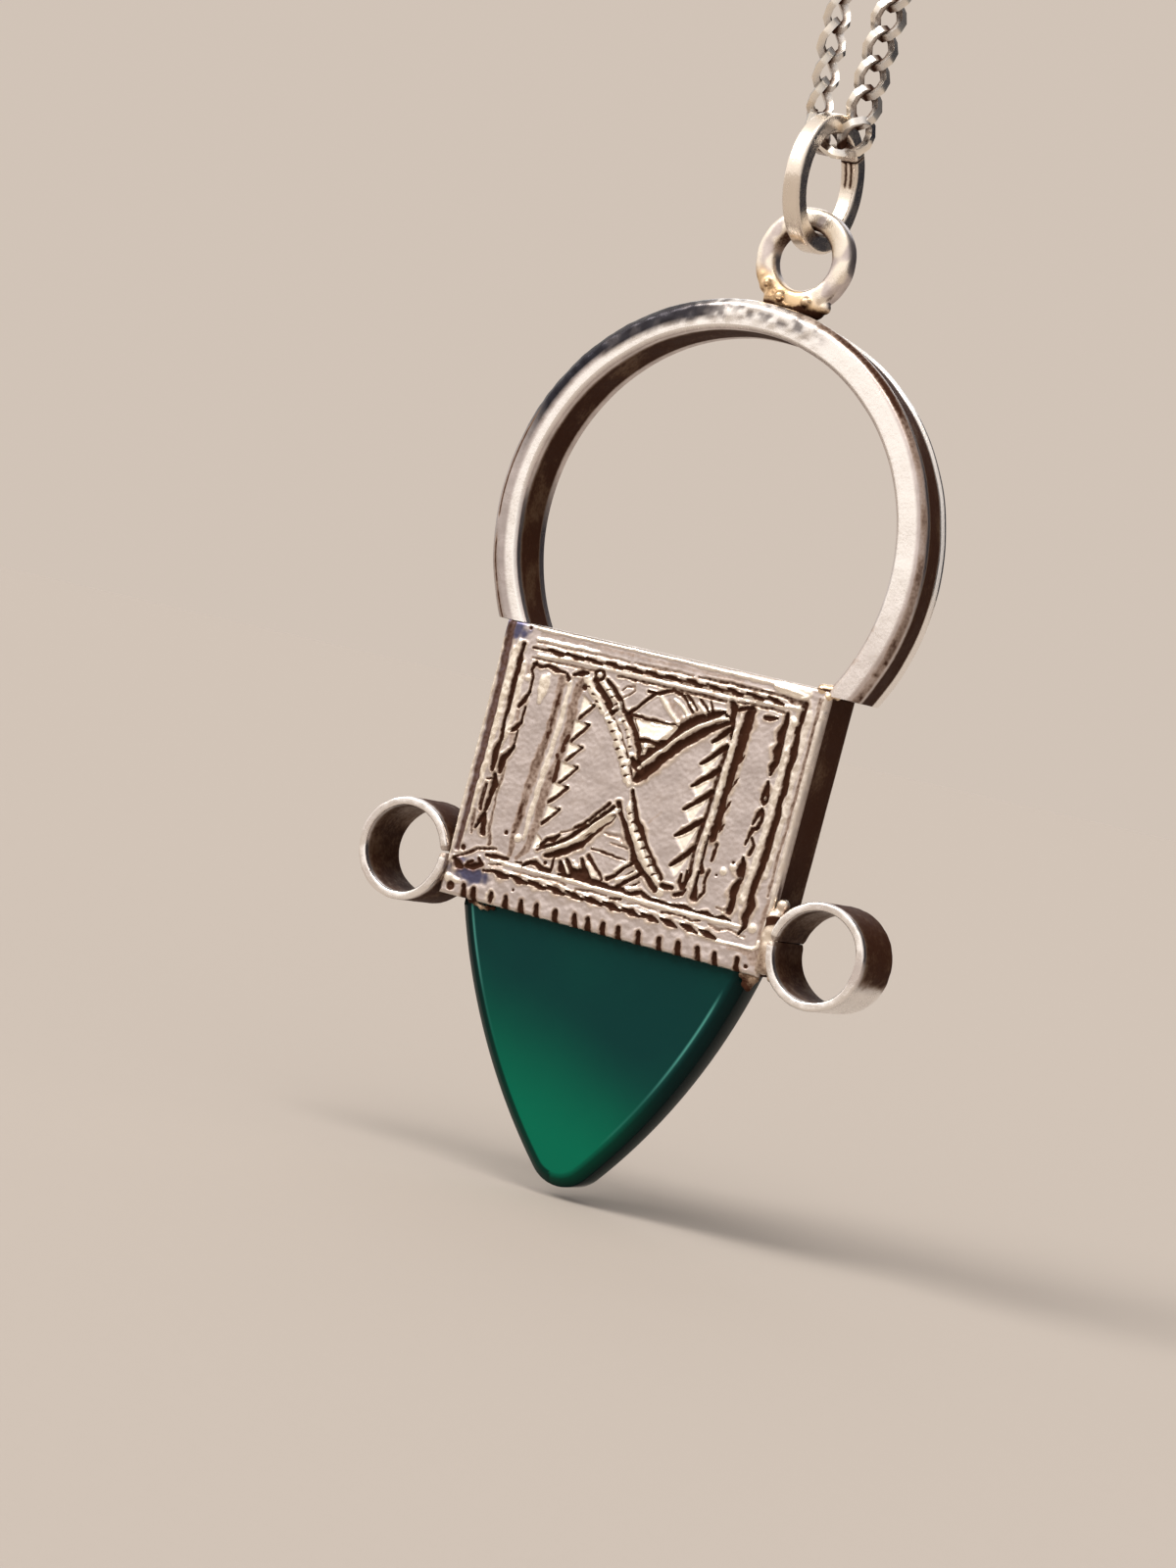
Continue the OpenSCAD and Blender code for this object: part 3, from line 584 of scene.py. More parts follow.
class Plate:
    """A field of heights and three finish masks over the front plate, cut stroke by stroke."""

    def __init__(self, columns, rows):
        u, v = np.meshgrid(np.linspace(0, 1, columns), np.linspace(0, 1, rows), indexing="ij")
        corners = np.array(PLATE_CORNERS)
        low = corners[0] + (corners[1] - corners[0]) * u[..., None]
        high = corners[2] + (corners[3] - corners[2]) * u[..., None]
        spot = low + (high - low) * v[..., None]
        self.x, self.z = spot[..., 0], spot[..., 1]
        self.edge = np.minimum(np.minimum(u, 1 - u) * PLATE_WIDTH, np.minimum(v, 1 - v) * corners[2][1])
        self.height = np.zeros_like(self.x)
        self.tarnish_and_shade = np.zeros_like(self.x)
        self.wear_and_highlight = np.zeros_like(self.x)
        self.stain_and_shade = np.zeros_like(self.x)
        self.blotch = self.roughness(0.7, 3.1)
        self.grit = self.roughness(0.16, 8.4)
        self.ripple = self.roughness(0.3, 12.5)
        # Where a stroke that wavers a little would take each point to be
        self.wx = self.x + STROKE_WAVER * self.roughness(0.5, 5.2)
        self.wz = self.z + STROKE_WAVER * self.roughness(0.5, 6.6)

    def roughness(self, size, seed):
        return rough(bound(self.x, 0, self.z), size, seed)

    def window(self, places, margin):
        """The part of the plate that a stroke can reach."""
        xs, zs = [p[0] for p in places], [p[1] for p in places]
        near = (self.x > min(xs) - margin) & (self.x < max(xs) + margin)
        near &= (self.z > min(zs) - margin) & (self.z < max(zs) + margin)
        return near

    def spread(self, places, near):
        """Distance from a stroke's middle line, as a share of its half width there."""
        x, z = self.wx[near], self.wz[near]
        uneven = 1.15 + 0.4 * self.ripple[near]
        best = np.full(x.shape, FAR)
        for (ax, az, a_width), (bx, bz, b_width) in zip(places, places[1:]):
            run_x, run_z = bx - ax, bz - az
            t = np.clip(((x - ax) * run_x + (z - az) * run_z) / (run_x ** 2 + run_z ** 2), 0, 1)
            away = np.hypot(x - ax - t * run_x, z - az - t * run_z)
            best = np.minimum(best, away / ((a_width + (b_width - a_width) * t) / 2 * uneven))
        return best

    def rub(self, near, mask):
        """Rubs the silver bright and clean, which also paints a highlight there."""
        raise_to(self.wear_and_highlight, near, mask)
        self.tarnish_and_shade[near] *= 1 - mask

    def cut(self, dark, places, deepest=0.13, rise=1.0):
        """A groove with a low burr along both sides."""
        near = self.window(places, 0.5)
        share = self.spread(places, near)
        width = sum(p[2] for p in places) / len(places)
        depth = min(deepest, 0.6 * width) * dark
        # A groove that crosses another one goes less deep there
        left = np.clip(1 + self.height[near] / 0.2, 0.2, 1)
        burr = rise * np.exp(-((share - 1.5) / 0.4) ** 2)
        self.height[near] += 0.25 * depth * burr - depth * left * np.clip(1 - share ** 2, 0, 1)
        # The burrs are lightened: rubbed silver and a painted highlight
        raise_to(self.wear_and_highlight, near, 0.6 * burr * dark)
        brown = np.maximum(1 - fade(share, 0.75, 1.3), 0.48 * (1 - fade(share, 1.2, 2.5)))
        raise_to(self.tarnish_and_shade, near, dark * brown)

    def darken(self, dark, places):
        """A soft brown stain with no depth."""
        near = self.window(places, 0.5)
        raise_to(self.tarnish_and_shade, near, dark * (1 - fade(self.spread(places, near), 0.6, 1.5)))

    def brighten(self, shine, places, height=0.05):
        """A raised line, rubbed clean and lightened with a painted highlight."""
        near = self.window(places, 0.4)
        crown = np.clip(1.15 - self.spread(places, near) ** 2, 0, 1)
        self.height[near] += height * shine * crown
        self.rub(near, shine * fade(crown, 0.1, 0.6))

    def bead(self, x, z, width):
        """A round bead, rubbed clean and lightened with a painted highlight."""
        width = width * 1.25
        near = self.window([(x, z)], width)
        dome = np.clip(1 - (np.hypot(self.wx[near] - x, self.wz[near] - z) / (width / 2)) ** 2, 0, 1)
        self.height[near] += BEAD_HEIGHT * dome
        self.rub(near, fade(dome, 0.05, 0.45))

    def pit(self, x, z, radius):
        """A small dark hollow."""
        near = self.window([(x, z)], radius * 2)
        share = np.hypot(self.wx[near] - x, self.wz[near] - z) / radius
        self.height[near] -= PIT_DEPTH * np.clip(1 - share ** 2, 0, 1)
        raise_to(self.tarnish_and_shade, near, 0.95 * (1 - fade(share, 0.6, 1.2)))

    def facet(self, corners, depth):
        """A flat slanted cut, clean and bright, its brightness partly a painted highlight: deepest along
        its first edge, level at the far one.
        """
        near = self.window(corners, 0.1)
        x, z = self.wx[near], self.wz[near]
        edges = list(zip(corners, corners[1:] + corners[:1]))
        turn = sum(a[0] * b[1] - b[0] * a[1] for a, b in edges)
        inside = np.full(x.shape, FAR)
        for a, b in edges:
            inside = np.minimum(inside, off_line(x, z, a, b) * (-1 if turn > 0 else 1))
        away = np.abs(off_line(x, z, corners[0], corners[1]))
        far = max(abs(off_line(c[0], c[1], corners[0], corners[1])) for c in corners)
        mask = fade(inside, -0.03, 0.04)
        self.height[near] -= mask * depth * np.clip(1 - away / far, 0, 1)
        self.rub(near, mask)

    def blot(self, x, z, reach, strength):
        """A bluish discoloured blot with a ragged edge."""
        share = np.hypot((self.wx - x) / reach[0], (self.wz - z) / reach[1])
        ragged = share + 0.35 * self.blotch + 0.5 * self.ripple
        self.stain_and_shade = np.maximum(self.stain_and_shade, strength * (1 - fade(ragged, 0.5, 1.05)))


def raise_to(field, near, mask):
    """Raises part of a field to a mask, where the mask is higher."""
    field[near] = np.maximum(field[near], mask)


def off_line(x, z, a, b):
    """Distance to the right of the line from a to b."""
    run = (b[0] - a[0], b[1] - a[1])
    return ((x - a[0]) * run[1] - (z - a[1]) * run[0]) / math.hypot(*run)


def row_strokes(rows):
    """The single strokes of rows of like strokes, thin at both ends."""
    for first, last, count, half, width in rows:
        thin = width * 0.3
        for i in range(count):
            t = i / (count - 1)
            x = first[0] + (last[0] - first[0]) * t
            z = first[1] + (last[1] - first[1]) * t
            yield (x - half[0], z - half[1], thin), (x, z, width), (x + half[0], z + half[1], thin)


def engrave(plate):
    """All cuts of the plate, in the order in which a worker would make them."""
    for dark, places in BROWN_STAINS:
        plate.darken(dark, places)
    for dark, places in TOP_CUTS + LEFT_CUTS + ARM_CUTS + FAN_CUTS + RIGHT_CUTS + BOTTOM_CUTS:
        plate.cut(dark, places)
    for corners in FACETS:
        plate.facet(corners, FACET_DEPTH)
    for tip, foot, root in LEFT_TEETH:
        plate.facet((root, tip, foot), TOOTH_DEPTH)
        plate.cut(1, ((*tip, 0.15), (*foot, 0.13)))
        hook = (tip[0] - 0.25, tip[1] + 0.06)
        plate.cut(0.9, ((*hook, 0.05), (*tip, 0.12)))
    for root, tip, low, right in RIGHT_TEETH:
        plate.facet((root, tip, low, right), TOOTH_DEPTH)
        middle = ((root[0] + tip[0]) / 2, (root[1] + tip[1]) / 2)
        plate.cut(1, ((*root, 0.22), (*middle, 0.2), (*tip, 0.11)))
    for shine, places in BRIGHT_LINES:
        plate.brighten(shine, places)
    for places in row_strokes(BRIGHT_ROWS):
        plate.brighten(0.8, places, 0.03)
    for bead in BEADS:
        plate.bead(*bead)
    for places in row_strokes(CUT_ROWS):
        plate.cut(1, places)
    for pit in PITS:
        plate.pit(*pit)
    for x in SLOTS:
        slot = ((x + 0.06, -0.2, SLOT_WIDTH), (x - 0.06, SLOT_HEIGHT - 0.1, SLOT_WIDTH * 0.7))
        plate.cut(1, slot, deepest=SLOT_DEPTH, rise=0.25)
    # The channel: a shallow groove, with painted shade laid in it by the third mask
    plate.cut(0.6, CHANNEL)
    near = plate.window(CHANNEL, 0.5)
    raise_to(plate.stain_and_shade, near, 1 - fade(plate.spread(CHANNEL, near), 0.7, 1.2))
    # Small dents along the bottom band
    plate.height += 0.02 * plate.ripple * (1 - fade(plate.z, 0.9, 1.3))
    for blot in BLOTS:
        plate.blot(*blot)


def plate_piece(sizes):
    """The engraved front plate: a closed slab whose front follows the height field."""
    columns, rows = sizes.plate_columns, int(sizes.plate_columns * PLATE_SHAPE)
    plate = Plate(columns, rows)
    engrave(plate)
    plate.height = plate.height * sizes.engraving_depth + 0.014 * plate.blotch + 0.008 * plate.grit
    from_edge = np.clip((plate.edge + 0.02 * plate.blotch) / PLATE_EDGE, 0, 1)
    front = -np.clip(plate.height, -0.3, 0.09) + PLATE_DROP * (1 - from_edge) ** 2
    top = bound(plate.x, front, plate.z).reshape(-1, 3)
    faces = grid_faces(columns, rows)
    # The front's outermost points, in order round it
    rim = [i * rows for i in range(columns)]
    rim += [(columns - 1) * rows + k for k in range(1, rows)]
    rim += [i * rows + rows - 1 for i in range(columns - 2, -1, -1)]
    rim += list(range(rows - 2, 0, -1))
    first = len(top)
    back_rim = top[rim]
    back_rim[:, 1] = PLATE_THICKNESS
    for i in range(len(rim)):
        k = (i + 1) % len(rim)
        faces.append((rim[i], first + i, first + k, rim[k]))
    faces.append(tuple(range(first, first + len(rim))))
    # The plate's edges are lightened: rubbed silver and a painted highlight
    on_edge = 1 - fade(plate.edge, 0.05, 0.2)
    tarnish_and_shade = plate.tarnish_and_shade * (0.9 + 0.25 * plate.grit) + 0.12 * np.clip(plate.blotch, 0, 1)
    wear_and_highlight = np.maximum(plate.wear_and_highlight, 0.35 * on_edge)
    finish = bound(tarnish_and_shade, wear_and_highlight, plate.stain_and_shade).reshape(-1, 3)
    rim_finish = np.tile([0.5, 0.0, 0.0], (len(rim), 1))
    points = in_pendant(np.concatenate([top, back_rim]))
    return piece_from("engraved_plate", points, faces, np.concatenate([finish, rim_finish]), 60)


def box_piece():
    """Sides, top and back of the box behind the plate, open at the bottom round the stone."""
    low_left, low_right, top_left, top_right = [corner[0] for corner in PLATE_CORNERS]
    outline = np.array(rounded((
        (low_left + BOX_INSET, 0.0, 0.04), (low_right - BOX_INSET, 0.0, 0.04),
        (top_right - BOX_INSET, BOX_TOP, 0.22), (top_left + BOX_INSET, BOX_TOP, 0.22),
    ), 6, 0.6))
    middle = outline.mean(0)
    away = outline - middle
    unit = away / np.linalg.norm(away, axis=1)[:, None]
    # Depth of each ring and how far it stands in from the outline, and then the rings of the flat back
    rings = [(y, outline - unit * inset) for y, inset in (
        (0.36, 0.0), (1.0, 0.02), (1.6, 0.02), (2.2, 0.02), (2.6, 0.0), (2.72, 0.03), (2.78, 0.09),
        (BOX_DEPTH, 0.17), (BOX_DEPTH, 0.35),
    )]
    last = rings[-1][1] - middle
    rings += [(BOX_DEPTH, middle + last * share) for share in np.linspace(0.94, 0.06, 16)]
    points = np.array([bound(ring[:, 0], y, ring[:, 1]) for y, ring in rings])
    broad = rough(points, 2.5, 1.3)
    blotch = rough(points, 1.6, 4.0)
    grit = rough(points, 0.45, 9.0)
    back = fade(points[..., 1], 2.7, 2.8)
    side = 1 - back
    edge = np.exp(-((points[..., 1] - 2.73) / 0.08) ** 2)
    points[..., 0] += 0.03 * broad * side
    # Shallow dents in the back
    points[..., 1] -= 0.05 * back * np.clip(broad + 0.3 * blotch, 0, 1)
    # The sides are darkened: tarnishing, and a painted dark reflection and shade laid by the third mask.
    # The back is lighter.
    tarnish_and_shade = 0.8 - 0.56 * back - 0.2 * side * fade(-blotch, 0.1, 0.7)
    tarnish_and_shade = tarnish_and_shade + 0.22 * back * blotch + 0.13 * grit
    wear_and_highlight = 0.8 * edge + 0.4 * back * np.clip(-broad, 0, 1)
    finish = bound(tarnish_and_shade * (1 - 0.6 * edge), wear_and_highlight, 0.92 * side * (1 - edge))
    faces = grid_faces(len(rings), len(outline), columns_close=True)
    box = piece_from("box", in_pendant(points), faces, finish)
    hollow_corners = (
        (low_left + BOX_INSET + WALL, -1.0), (low_right - BOX_INSET - WALL, -1.0),
        (top_right - BOX_INSET - WALL, HOLLOW_TOP), (top_left + BOX_INSET + WALL, HOLLOW_TOP),
    )
    inner = [(x, y, z) for y in (PLATE_THICKNESS, BOX_DEPTH - WALL) for x, z in hollow_corners]
    hollow = piece_from("hollow", in_pendant(inner), grid_faces(2, 4, columns_close=True))
    return carved(box, hollow)


def carved(piece, cutter):
    """The piece with the cutter's shape taken out of it, as a plain mesh."""
    cut = piece.modifiers.new("hollow", "BOOLEAN")
    cut.object = cutter
    cut.solver = "EXACT"
    settle(piece)
    bpy.data.objects.remove(cutter)
    return piece


def settle(piece):
    """Puts the result of a piece's modifiers in its mesh and removes the modifiers."""
    mesh = plain_mesh(piece)
    piece.modifiers.clear()
    piece.data = mesh
    smooth(mesh, 40)


def plain_mesh(piece):
    """The mesh that a piece's modifiers make."""
    graph = bpy.context.evaluated_depsgraph_get()
    graph.update()
    return bpy.data.meshes.new_from_object(piece.evaluated_get(graph), depsgraph=graph)


def hoop_piece(sizes):
    """The hoop: a domed band swept from foot to foot, with old solder smeared over its top."""
    section = np.array(rounded((
        (HOOP_INNER, HOOP_DEPTH, 0.12), (HOOP_INNER, 0.15, 0.06), (HOOP_INNER + 0.15, 0.0, 0.08),
        (HOOP_OUTER - 0.3, 0.0, 0.3), (HOOP_OUTER, 0.32, 0.25),
        (HOOP_OUTER - 0.26, HOOP_DEPTH - 0.3, 0.05), (HOOP_OUTER - 0.14, HOOP_DEPTH - 0.18, 0.04),
        (HOOP_OUTER - 0.14, HOOP_DEPTH, 0.06),
    ), 4, 0.16))
    r, y = section.T
    left = math.pi + np.arcsin((HOOP_AT[1] - HOOP_FEET[0]) / r)
    right = -np.arcsin((HOOP_AT[1] - HOOP_FEET[1]) / r)
    angle = left + (right - left) * np.linspace(0, 1, sizes.hoop_steps)[:, None]
    place = bound(np.cos(angle) * r, y, np.sin(angle) * r)
    blotch = rough(place, 1.6, 2.2)
    grit = rough(place, 0.35, 9.2)
    # Degrees round the hoop: 0 on the right, 90 at the top
    turn = np.degrees(angle)
    on_front = 1 - fade(y, 0.25, 0.5)
    on_right = 1 - fade(turn, 60, 100)
    # Dark solder smeared over the outer half of the band, left of the top ring
    smear_from = 9.56 + 0.24 * fade(turn, 110, 150) - 0.06 * grit
    smear = fade(r - smear_from, 0, 0.12) * fade(turn, 66, 74) * (1 - fade(turn, 145, 175))
    smear = smear * (1 - fade(y, 0.6, 0.9))
    mottle = rough(place, 0.5, 5.5)
    # Its right end is whitish, with painted glints
    whitish = smear * (1 - fade(turn + 10 * mottle, 98, 106))
    painted_glint = whitish * (0.35 + 0.65 * fade(grit + 0.6 * mottle, -0.3, 0.1))
    # A broken line cut near the left branch's outer edge
    line = np.exp(-((r - 10.2) / 0.07) ** 2) * on_front
    line = line * fade(turn, 150, 165) * fade(blotch + 0.5, 0.1, 0.4)
    lift = 0.05 * smear * (0.5 + grit) - 0.05 * line + 0.03 * blotch + 0.006 * grit
    uneven_r = r + 0.02 * blotch
    uneven_y = y + 0.05 - lift * on_front + 0.015 * blotch
    x = HOOP_AT[0] + np.cos(angle) * uneven_r
    z = HOOP_AT[1] + np.sin(angle) * uneven_r
    z = np.maximum(z, np.where(x < 0, HOOP_FEET[0], HOOP_FEET[1]))
    inner_wall = (1 - fade(r, HOOP_INNER + 0.02, HOOP_INNER + 0.12)) * fade(y, 0.3, 0.6)
    outer_wall = fade(y, 0.45, 0.8) * fade(r, HOOP_OUTER - 0.6, HOOP_OUTER - 0.4)
    back_edge = fade(y, 2.1, 2.2)
    walls = np.maximum(outer_wall, inner_wall) * (1 - back_edge)
    # The walls are darkened: tarnishing, and a painted dark reflection and shade
    tarnish_and_shade = walls * (0.8 - 0.2 * fade(-blotch, 0.1, 0.7) + 0.1 * grit) + 0.9 * line
    # Brown at the band's outer edge on the right, a painted shade where the band rounds away, and
    # blotches low on that branch
    brown_edge = fade(r, 10.2, 10.33) * on_right * on_front
    tarnish_and_shade = tarnish_and_shade + brown_edge * (0.5 + 0.2 * fade(turn, 20, 45) + 0.25 * blotch)
    low_right = (1 - fade(turn, -25, 5)) * on_front
    tarnish_and_shade = tarnish_and_shade + low_right * (0.5 * np.clip(grit - 0.1, 0, 1) + 0.3 * (1 - fade(r, 9.3, 9.5)))
    # The band is lightened, broad on the right and narrow on the left: rubbed silver and a painted
    # highlight
    broad = on_right * fade(r, 9.18, 9.3) * (1 - fade(r, 10.05, 10.2))
    narrow = (1 - on_right) * fade(r, 9.16, 9.2) * (1 - fade(r, 9.6, 9.72))
    wear_and_highlight = (broad + narrow) * on_front * (1 - smear) * (1 - 0.5 * low_right)
    # Painted glints, and a painted highlight along the back edge of the outer side
    wear_and_highlight = wear_and_highlight + painted_glint + back_edge * outer_wall
    # The third mask: the smeared solder, and the painted dark reflection and shade on the walls
    grey = smear * (0.98 + 0.3 * np.clip(-mottle, -0.2, 0)) - 0.9 * painted_glint
    grey = grey + 0.25 * fade(turn, 130, 150) * fade(r, 9.65, 9.8) * on_front
    finish = bound(tarnish_and_shade, wear_and_highlight, np.maximum(grey, 0.94 * walls))
    faces = grid_faces(*angle.shape, columns_close=True)
    return piece_from("hoop", in_pendant(bound(x, uneven_y, z)), faces, finish, 45)


def tube_piece(name, x, seam, gap, seed, lit_bottom):
    """A strip of silver rolled into a short tube, with its two ends meeting in a seam."""
    inner_r, back = TUBE_RADIUS - TUBE_WALL, TUBE_FRONT + TUBE_LENGTH
    section = np.array(rounded((
        (inner_r, TUBE_FRONT, 0.1), (TUBE_RADIUS, TUBE_FRONT, 0.12), (TUBE_RADIUS, back, 0.12),
        (inner_r, back, 0.1),
    ), 4, 0.3))
    flat_r, flat_y = section.T
    steps = 150
    half_gap = gap / TUBE_RADIUS / 2
    angle = (np.radians(seam) + np.linspace(half_gap, 2 * math.pi - half_gap, steps))[:, None]
    # The strip's ends are rounded
    from_end = np.minimum(np.arange(steps), np.arange(steps)[::-1])[:, None]
    at_end = from_end < 3
    narrow = np.where(at_end, (1 - from_end / 3) ** 2 * 0.12, 0)
    middle_r = TUBE_RADIUS - TUBE_WALL / 2
    middle_y = TUBE_FRONT + TUBE_LENGTH / 2
    r = middle_r + (flat_r - middle_r) * (1 - narrow * 1.6)
    y = middle_y + (flat_y - middle_y) * (1 - narrow * 0.5)
    place = bound(np.cos(angle) * r, y, np.sin(angle) * r)
    blotch = rough(place, 1.3, seed)
    grit = rough(place, 0.3, seed + 5)
    outward = fade(r, inner_r, TUBE_RADIUS)
    r = r + 0.03 * blotch * (1 - outward) - 0.02 * (1 + grit) * outward
    y = y + 0.04 * blotch * np.where(y < middle_y, 1, -1) + 0.012 * grit
    y = np.clip(y, TUBE_FRONT, back)
    inner = 1 - fade(flat_r, inner_r + 0.03, inner_r + 0.12)
    # The lower outer side is lightened: a painted reflection of the pale floor
    below = lit_bottom * (1 - fade(np.sin(angle) + 0.08 * grit, -0.5, -0.2))
    shaded_wall = fade(flat_y, TUBE_FRONT + 0.05, TUBE_FRONT + 0.5) * (1 - (1 - inner) * below)
    # The walls are darkened: tarnishing, and a painted dark reflection and shade
    tarnish_and_shade = shaded_wall * (0.78 - 0.07 * inner - 0.2 * fade(-blotch, 0.1, 0.7) + 0.15 * grit)
    tarnish_and_shade = np.where(at_end, np.maximum(tarnish_and_shade, 0.5), tarnish_and_shade)
    # A painted highlight inside, near the top
    light = inner * fade(np.sin(angle) + 0.15 * grit, 0.2, 0.95) * fade(y, 0.2, 0.8)
    tarnish_and_shade = np.clip(tarnish_and_shade, 0, 1) * (1 - 0.3 * light)
    rim = 1 - fade(flat_y, TUBE_FRONT + 0.02, TUBE_FRONT + 0.15)
    wear_and_highlight = np.maximum(rim * (0.75 + 0.6 * blotch), below * (1 - inner))
    # The third mask lays the walls' painted dark reflection and shade, less under the painted highlight
    stain_and_shade = 0.92 * shaded_wall * (1 - 0.35 * light)
    points = in_pendant(bound(x + np.cos(angle) * r, y, TUBE_HEIGHT + np.sin(angle) * r))
    faces = grid_faces(steps, len(section), columns_close=True)
    return piece_from(name, points, faces, bound(tarnish_and_shade, wear_and_highlight, stain_and_shade))


def fused(name, blobs, voxel, finish, wire=None):
    """Blobs (x, y, z, radius), and a ring if one is given, melted into one skin."""
    parts = bmesh.new()
    for x, y, z, radius in blobs:
        place = Matrix.Translation((x, y, z))
        bmesh.ops.create_icosphere(parts, subdivisions=3, radius=radius, matrix=place)
    if wire is not None:
        points, faces = wire
        made = [parts.verts.new(p) for p in points]
        for face in faces:
            parts.faces.new([made[i] for i in face])
    mesh = bpy.data.meshes.new(name)
    parts.to_mesh(mesh)
    parts.free()
    mesh.transform(Matrix.Translation(PENDANT_AT))
    mesh.transform(Matrix.Scale(MM, 4))
    piece = placed(name, mesh)
    melt = piece.modifiers.new("melt", "REMESH")
    melt.mode = "VOXEL"
    melt.voxel_size = voxel * MM
    soften = piece.modifiers.new("soften", "CORRECTIVE_SMOOTH")
    soften.factor = 0.6
    soften.iterations = 6
    soften.use_only_smooth = True
    settle(piece)
    mesh = piece.data
    places = np.array([v.co for v in mesh.vertices]) / MM - np.array(PENDANT_AT)
    blotch = rough(places, 0.6, 7.7)
    for v, b in zip(mesh.vertices, blotch):
        v.co += v.normal * float(b) * LUMP_HEIGHT * MM
    paint(mesh, finish(places, blotch))
    smooth(mesh, 80)
    return piece


def ring_wire_points(centre, radius, section, axis, steps, seam=0.0, gap=0.0):
    """A closed or split ring of a flat wire. Section points are (outward, along the axis)."""
    turn = seam + gap / radius / 2 + np.linspace(0, 2 * math.pi - gap / radius, steps, endpoint=gap > 0)
    points = []
    for a in turn:
        for out, along in section:
            flat, high = math.cos(a) * (radius + out), math.sin(a) * (radius + out)
            points.append((flat, along, high) if axis == "y" else (along, flat, high))
    points = np.array(points) + np.array(centre)
    return points, grid_faces(len(turn), len(section), rows_close=not gap, columns_close=True), turn


def top_ring_piece():
    """The ring on the hoop's top, with the solder at its foot melted round it."""
    half = RING_WIRE / 2
    section = rounded(((-half, -half, 0.3), (half, -half, 0.3), (half, half, 0.3), (-half, half, 0.3)), 4)
    points, faces, _ = ring_wire_points(RING_AT, RING_RADIUS, section, "y", 72)
    x, y, z = RING_AT
    blobs = (
        (x - 0.95, y - 0.05, 28.35, 0.58), (x + 0.9, y, 28.3, 0.55), (x - 0.3, y + 0.1, 28.1, 0.5),
        (x + 0.35, y, 28.12, 0.45), (x - 1.45, y - 0.1, 28.95, 0.42), (x - 1.65, y - 0.15, 29.35, 0.36),
        (x + 1.45, y - 0.1, 28.35, 0.3), (x - 0.55, y - 0.55, 28.5, 0.22),
        (x + 0.75, y - 0.6, 28.42, 0.24), (x - 1.3, y - 0.55, 29.0, 0.18), (x + 0.2, y + 0.9, 28.1, 0.3),
    )

    def finish(p, blotch):
        low = 1 - fade(p[:, 2] + 0.3 * blotch + 0.35 * (p[:, 0] - x), 28.6, 29.2)
        inside = 1 - fade(np.hypot(p[:, 0] - x, p[:, 2] - z), RING_RADIUS - 0.42, RING_RADIUS - 0.2)
        # Painted contact shadow at the foot, where the ring meets the hoop
        foot = 1 - fade(p[:, 2], 28.05, 28.35)
        tarnish_and_shade = 0.75 * inside * fade(p[:, 2], z - 0.5, z + 0.8) + 0.8 * foot
        tarnish_and_shade = tarnish_and_shade + 0.5 * low * fade(blotch, 0, 0.4)
        # Rubbed silver and a painted highlight on the ring's front
        wear_and_highlight = (1 - fade(p[:, 1], y - 0.4, y - 0.15)) * fade(blotch + 0.5, 0.1, 0.5) * (1 - 0.5 * low)
        return bound(tarnish_and_shade, wear_and_highlight, 0.8 * low)

    return fused("top_ring", blobs, 0.055, finish, (points, faces))


def tube_solder_piece(name, on_left):
    """Solder along the joint between the box and a side tube."""
    if on_left:
        seam_height, brown = 1.7, 0.75
        blobs = [(-8.45, 0.5 + 0.4 * i, 1.1 + 0.1 * math.sin(i * 2), 0.38) for i in range(6)]
        blobs += [(-8.5, 0.3, 0.7, 0.34), (-8.45, 0.3, 2.05, 0.26), (-8.4, 0.35, 2.5, 0.2)]
    else:
        seam_height, brown = 2.45, 0.3
        blobs = [(7.95, 0.5 + 0.4 * i, 1.2 + 0.1 * math.sin(i * 2), 0.38) for i in range(6)]
        blobs += [(8.0, 0.06, 0.5 + 0.3 * i, 0.36 + 0.03 * math.sin(i * 3)) for i in range(8)]
        blobs += [
            (7.92, 0.1, 1.75, 0.4), (7.98, 0.07, 1.3, 0.38), (7.95, 0.1, 0.85, 0.36),
            (8.0, 0.25, 2.3, 0.32), (8.1, 0.2, 2.8, 0.3), (8.2, 0.15, 3.2, 0.3), (7.9, 0.15, 0.4, 0.26),
            (8.55, -0.08, 0.12, 0.22), (8.06, 0.04, 1.95, 0.33), (8.02, 0.05, 1.45, 0.33),
            (8.06, 0.04, 0.95, 0.33), (8.25, 0.04, 0.5, 0.3),
        ]

    def finish(p, blotch):
        seam = fade(np.abs(p[:, 2] - seam_height + 0.2 * blotch), 0.08, 0.22)
        tarnish_and_shade = 0.9 * (1 - seam) + brown + 0.5 * blotch
        return bound(tarnish_and_shade, 0.9 - brown - 0.3 * blotch, 0.15)

    return fused(name, blobs, 0.06, finish)


def mouth_solder_piece():
    """Old solder that has run from the mouth's corners on to the stone, and some at the hoop's foot."""
    blobs = (
        (7.15, 0.42, -0.1, 0.24), (7.35, 0.45, -0.3, 0.22), (7.3, 0.46, -0.55, 0.18),
        (7.1, 0.46, -0.45, 0.16), (7.5, 0.5, -0.1, 0.22), (6.9, 0.4, -0.08, 0.16),
        (-6.6, 0.42, -0.08, 0.17), (-6.3, 0.42, -0.2, 0.16), (-6.0, 0.42, -0.18, 0.15),
        (-5.7, 0.42, -0.12, 0.12), (-6.9, 0.42, -0.02, 0.16),
        (7.7, 0.2, 12.4, 0.3), (8.0, 0.3, 12.45, 0.28), (8.2, 0.5, 12.3, 0.24), (8.05, 0.1, 12.15, 0.18),
    )

    def finish(p, blotch):
        at_hoop = fade(p[:, 2], 5, 6)
        crack = at_hoop * np.exp(-((p[:, 2] - 12.42) / 0.06) ** 2)
        tarnish_and_shade = 0.64 + 0.5 * blotch - 0.64 * at_hoop + crack
        return bound(tarnish_and_shade, 0.5 * at_hoop, 0.4 + 0.2 * at_hoop)

    return fused("corner_solder", blobs, 0.05, finish)


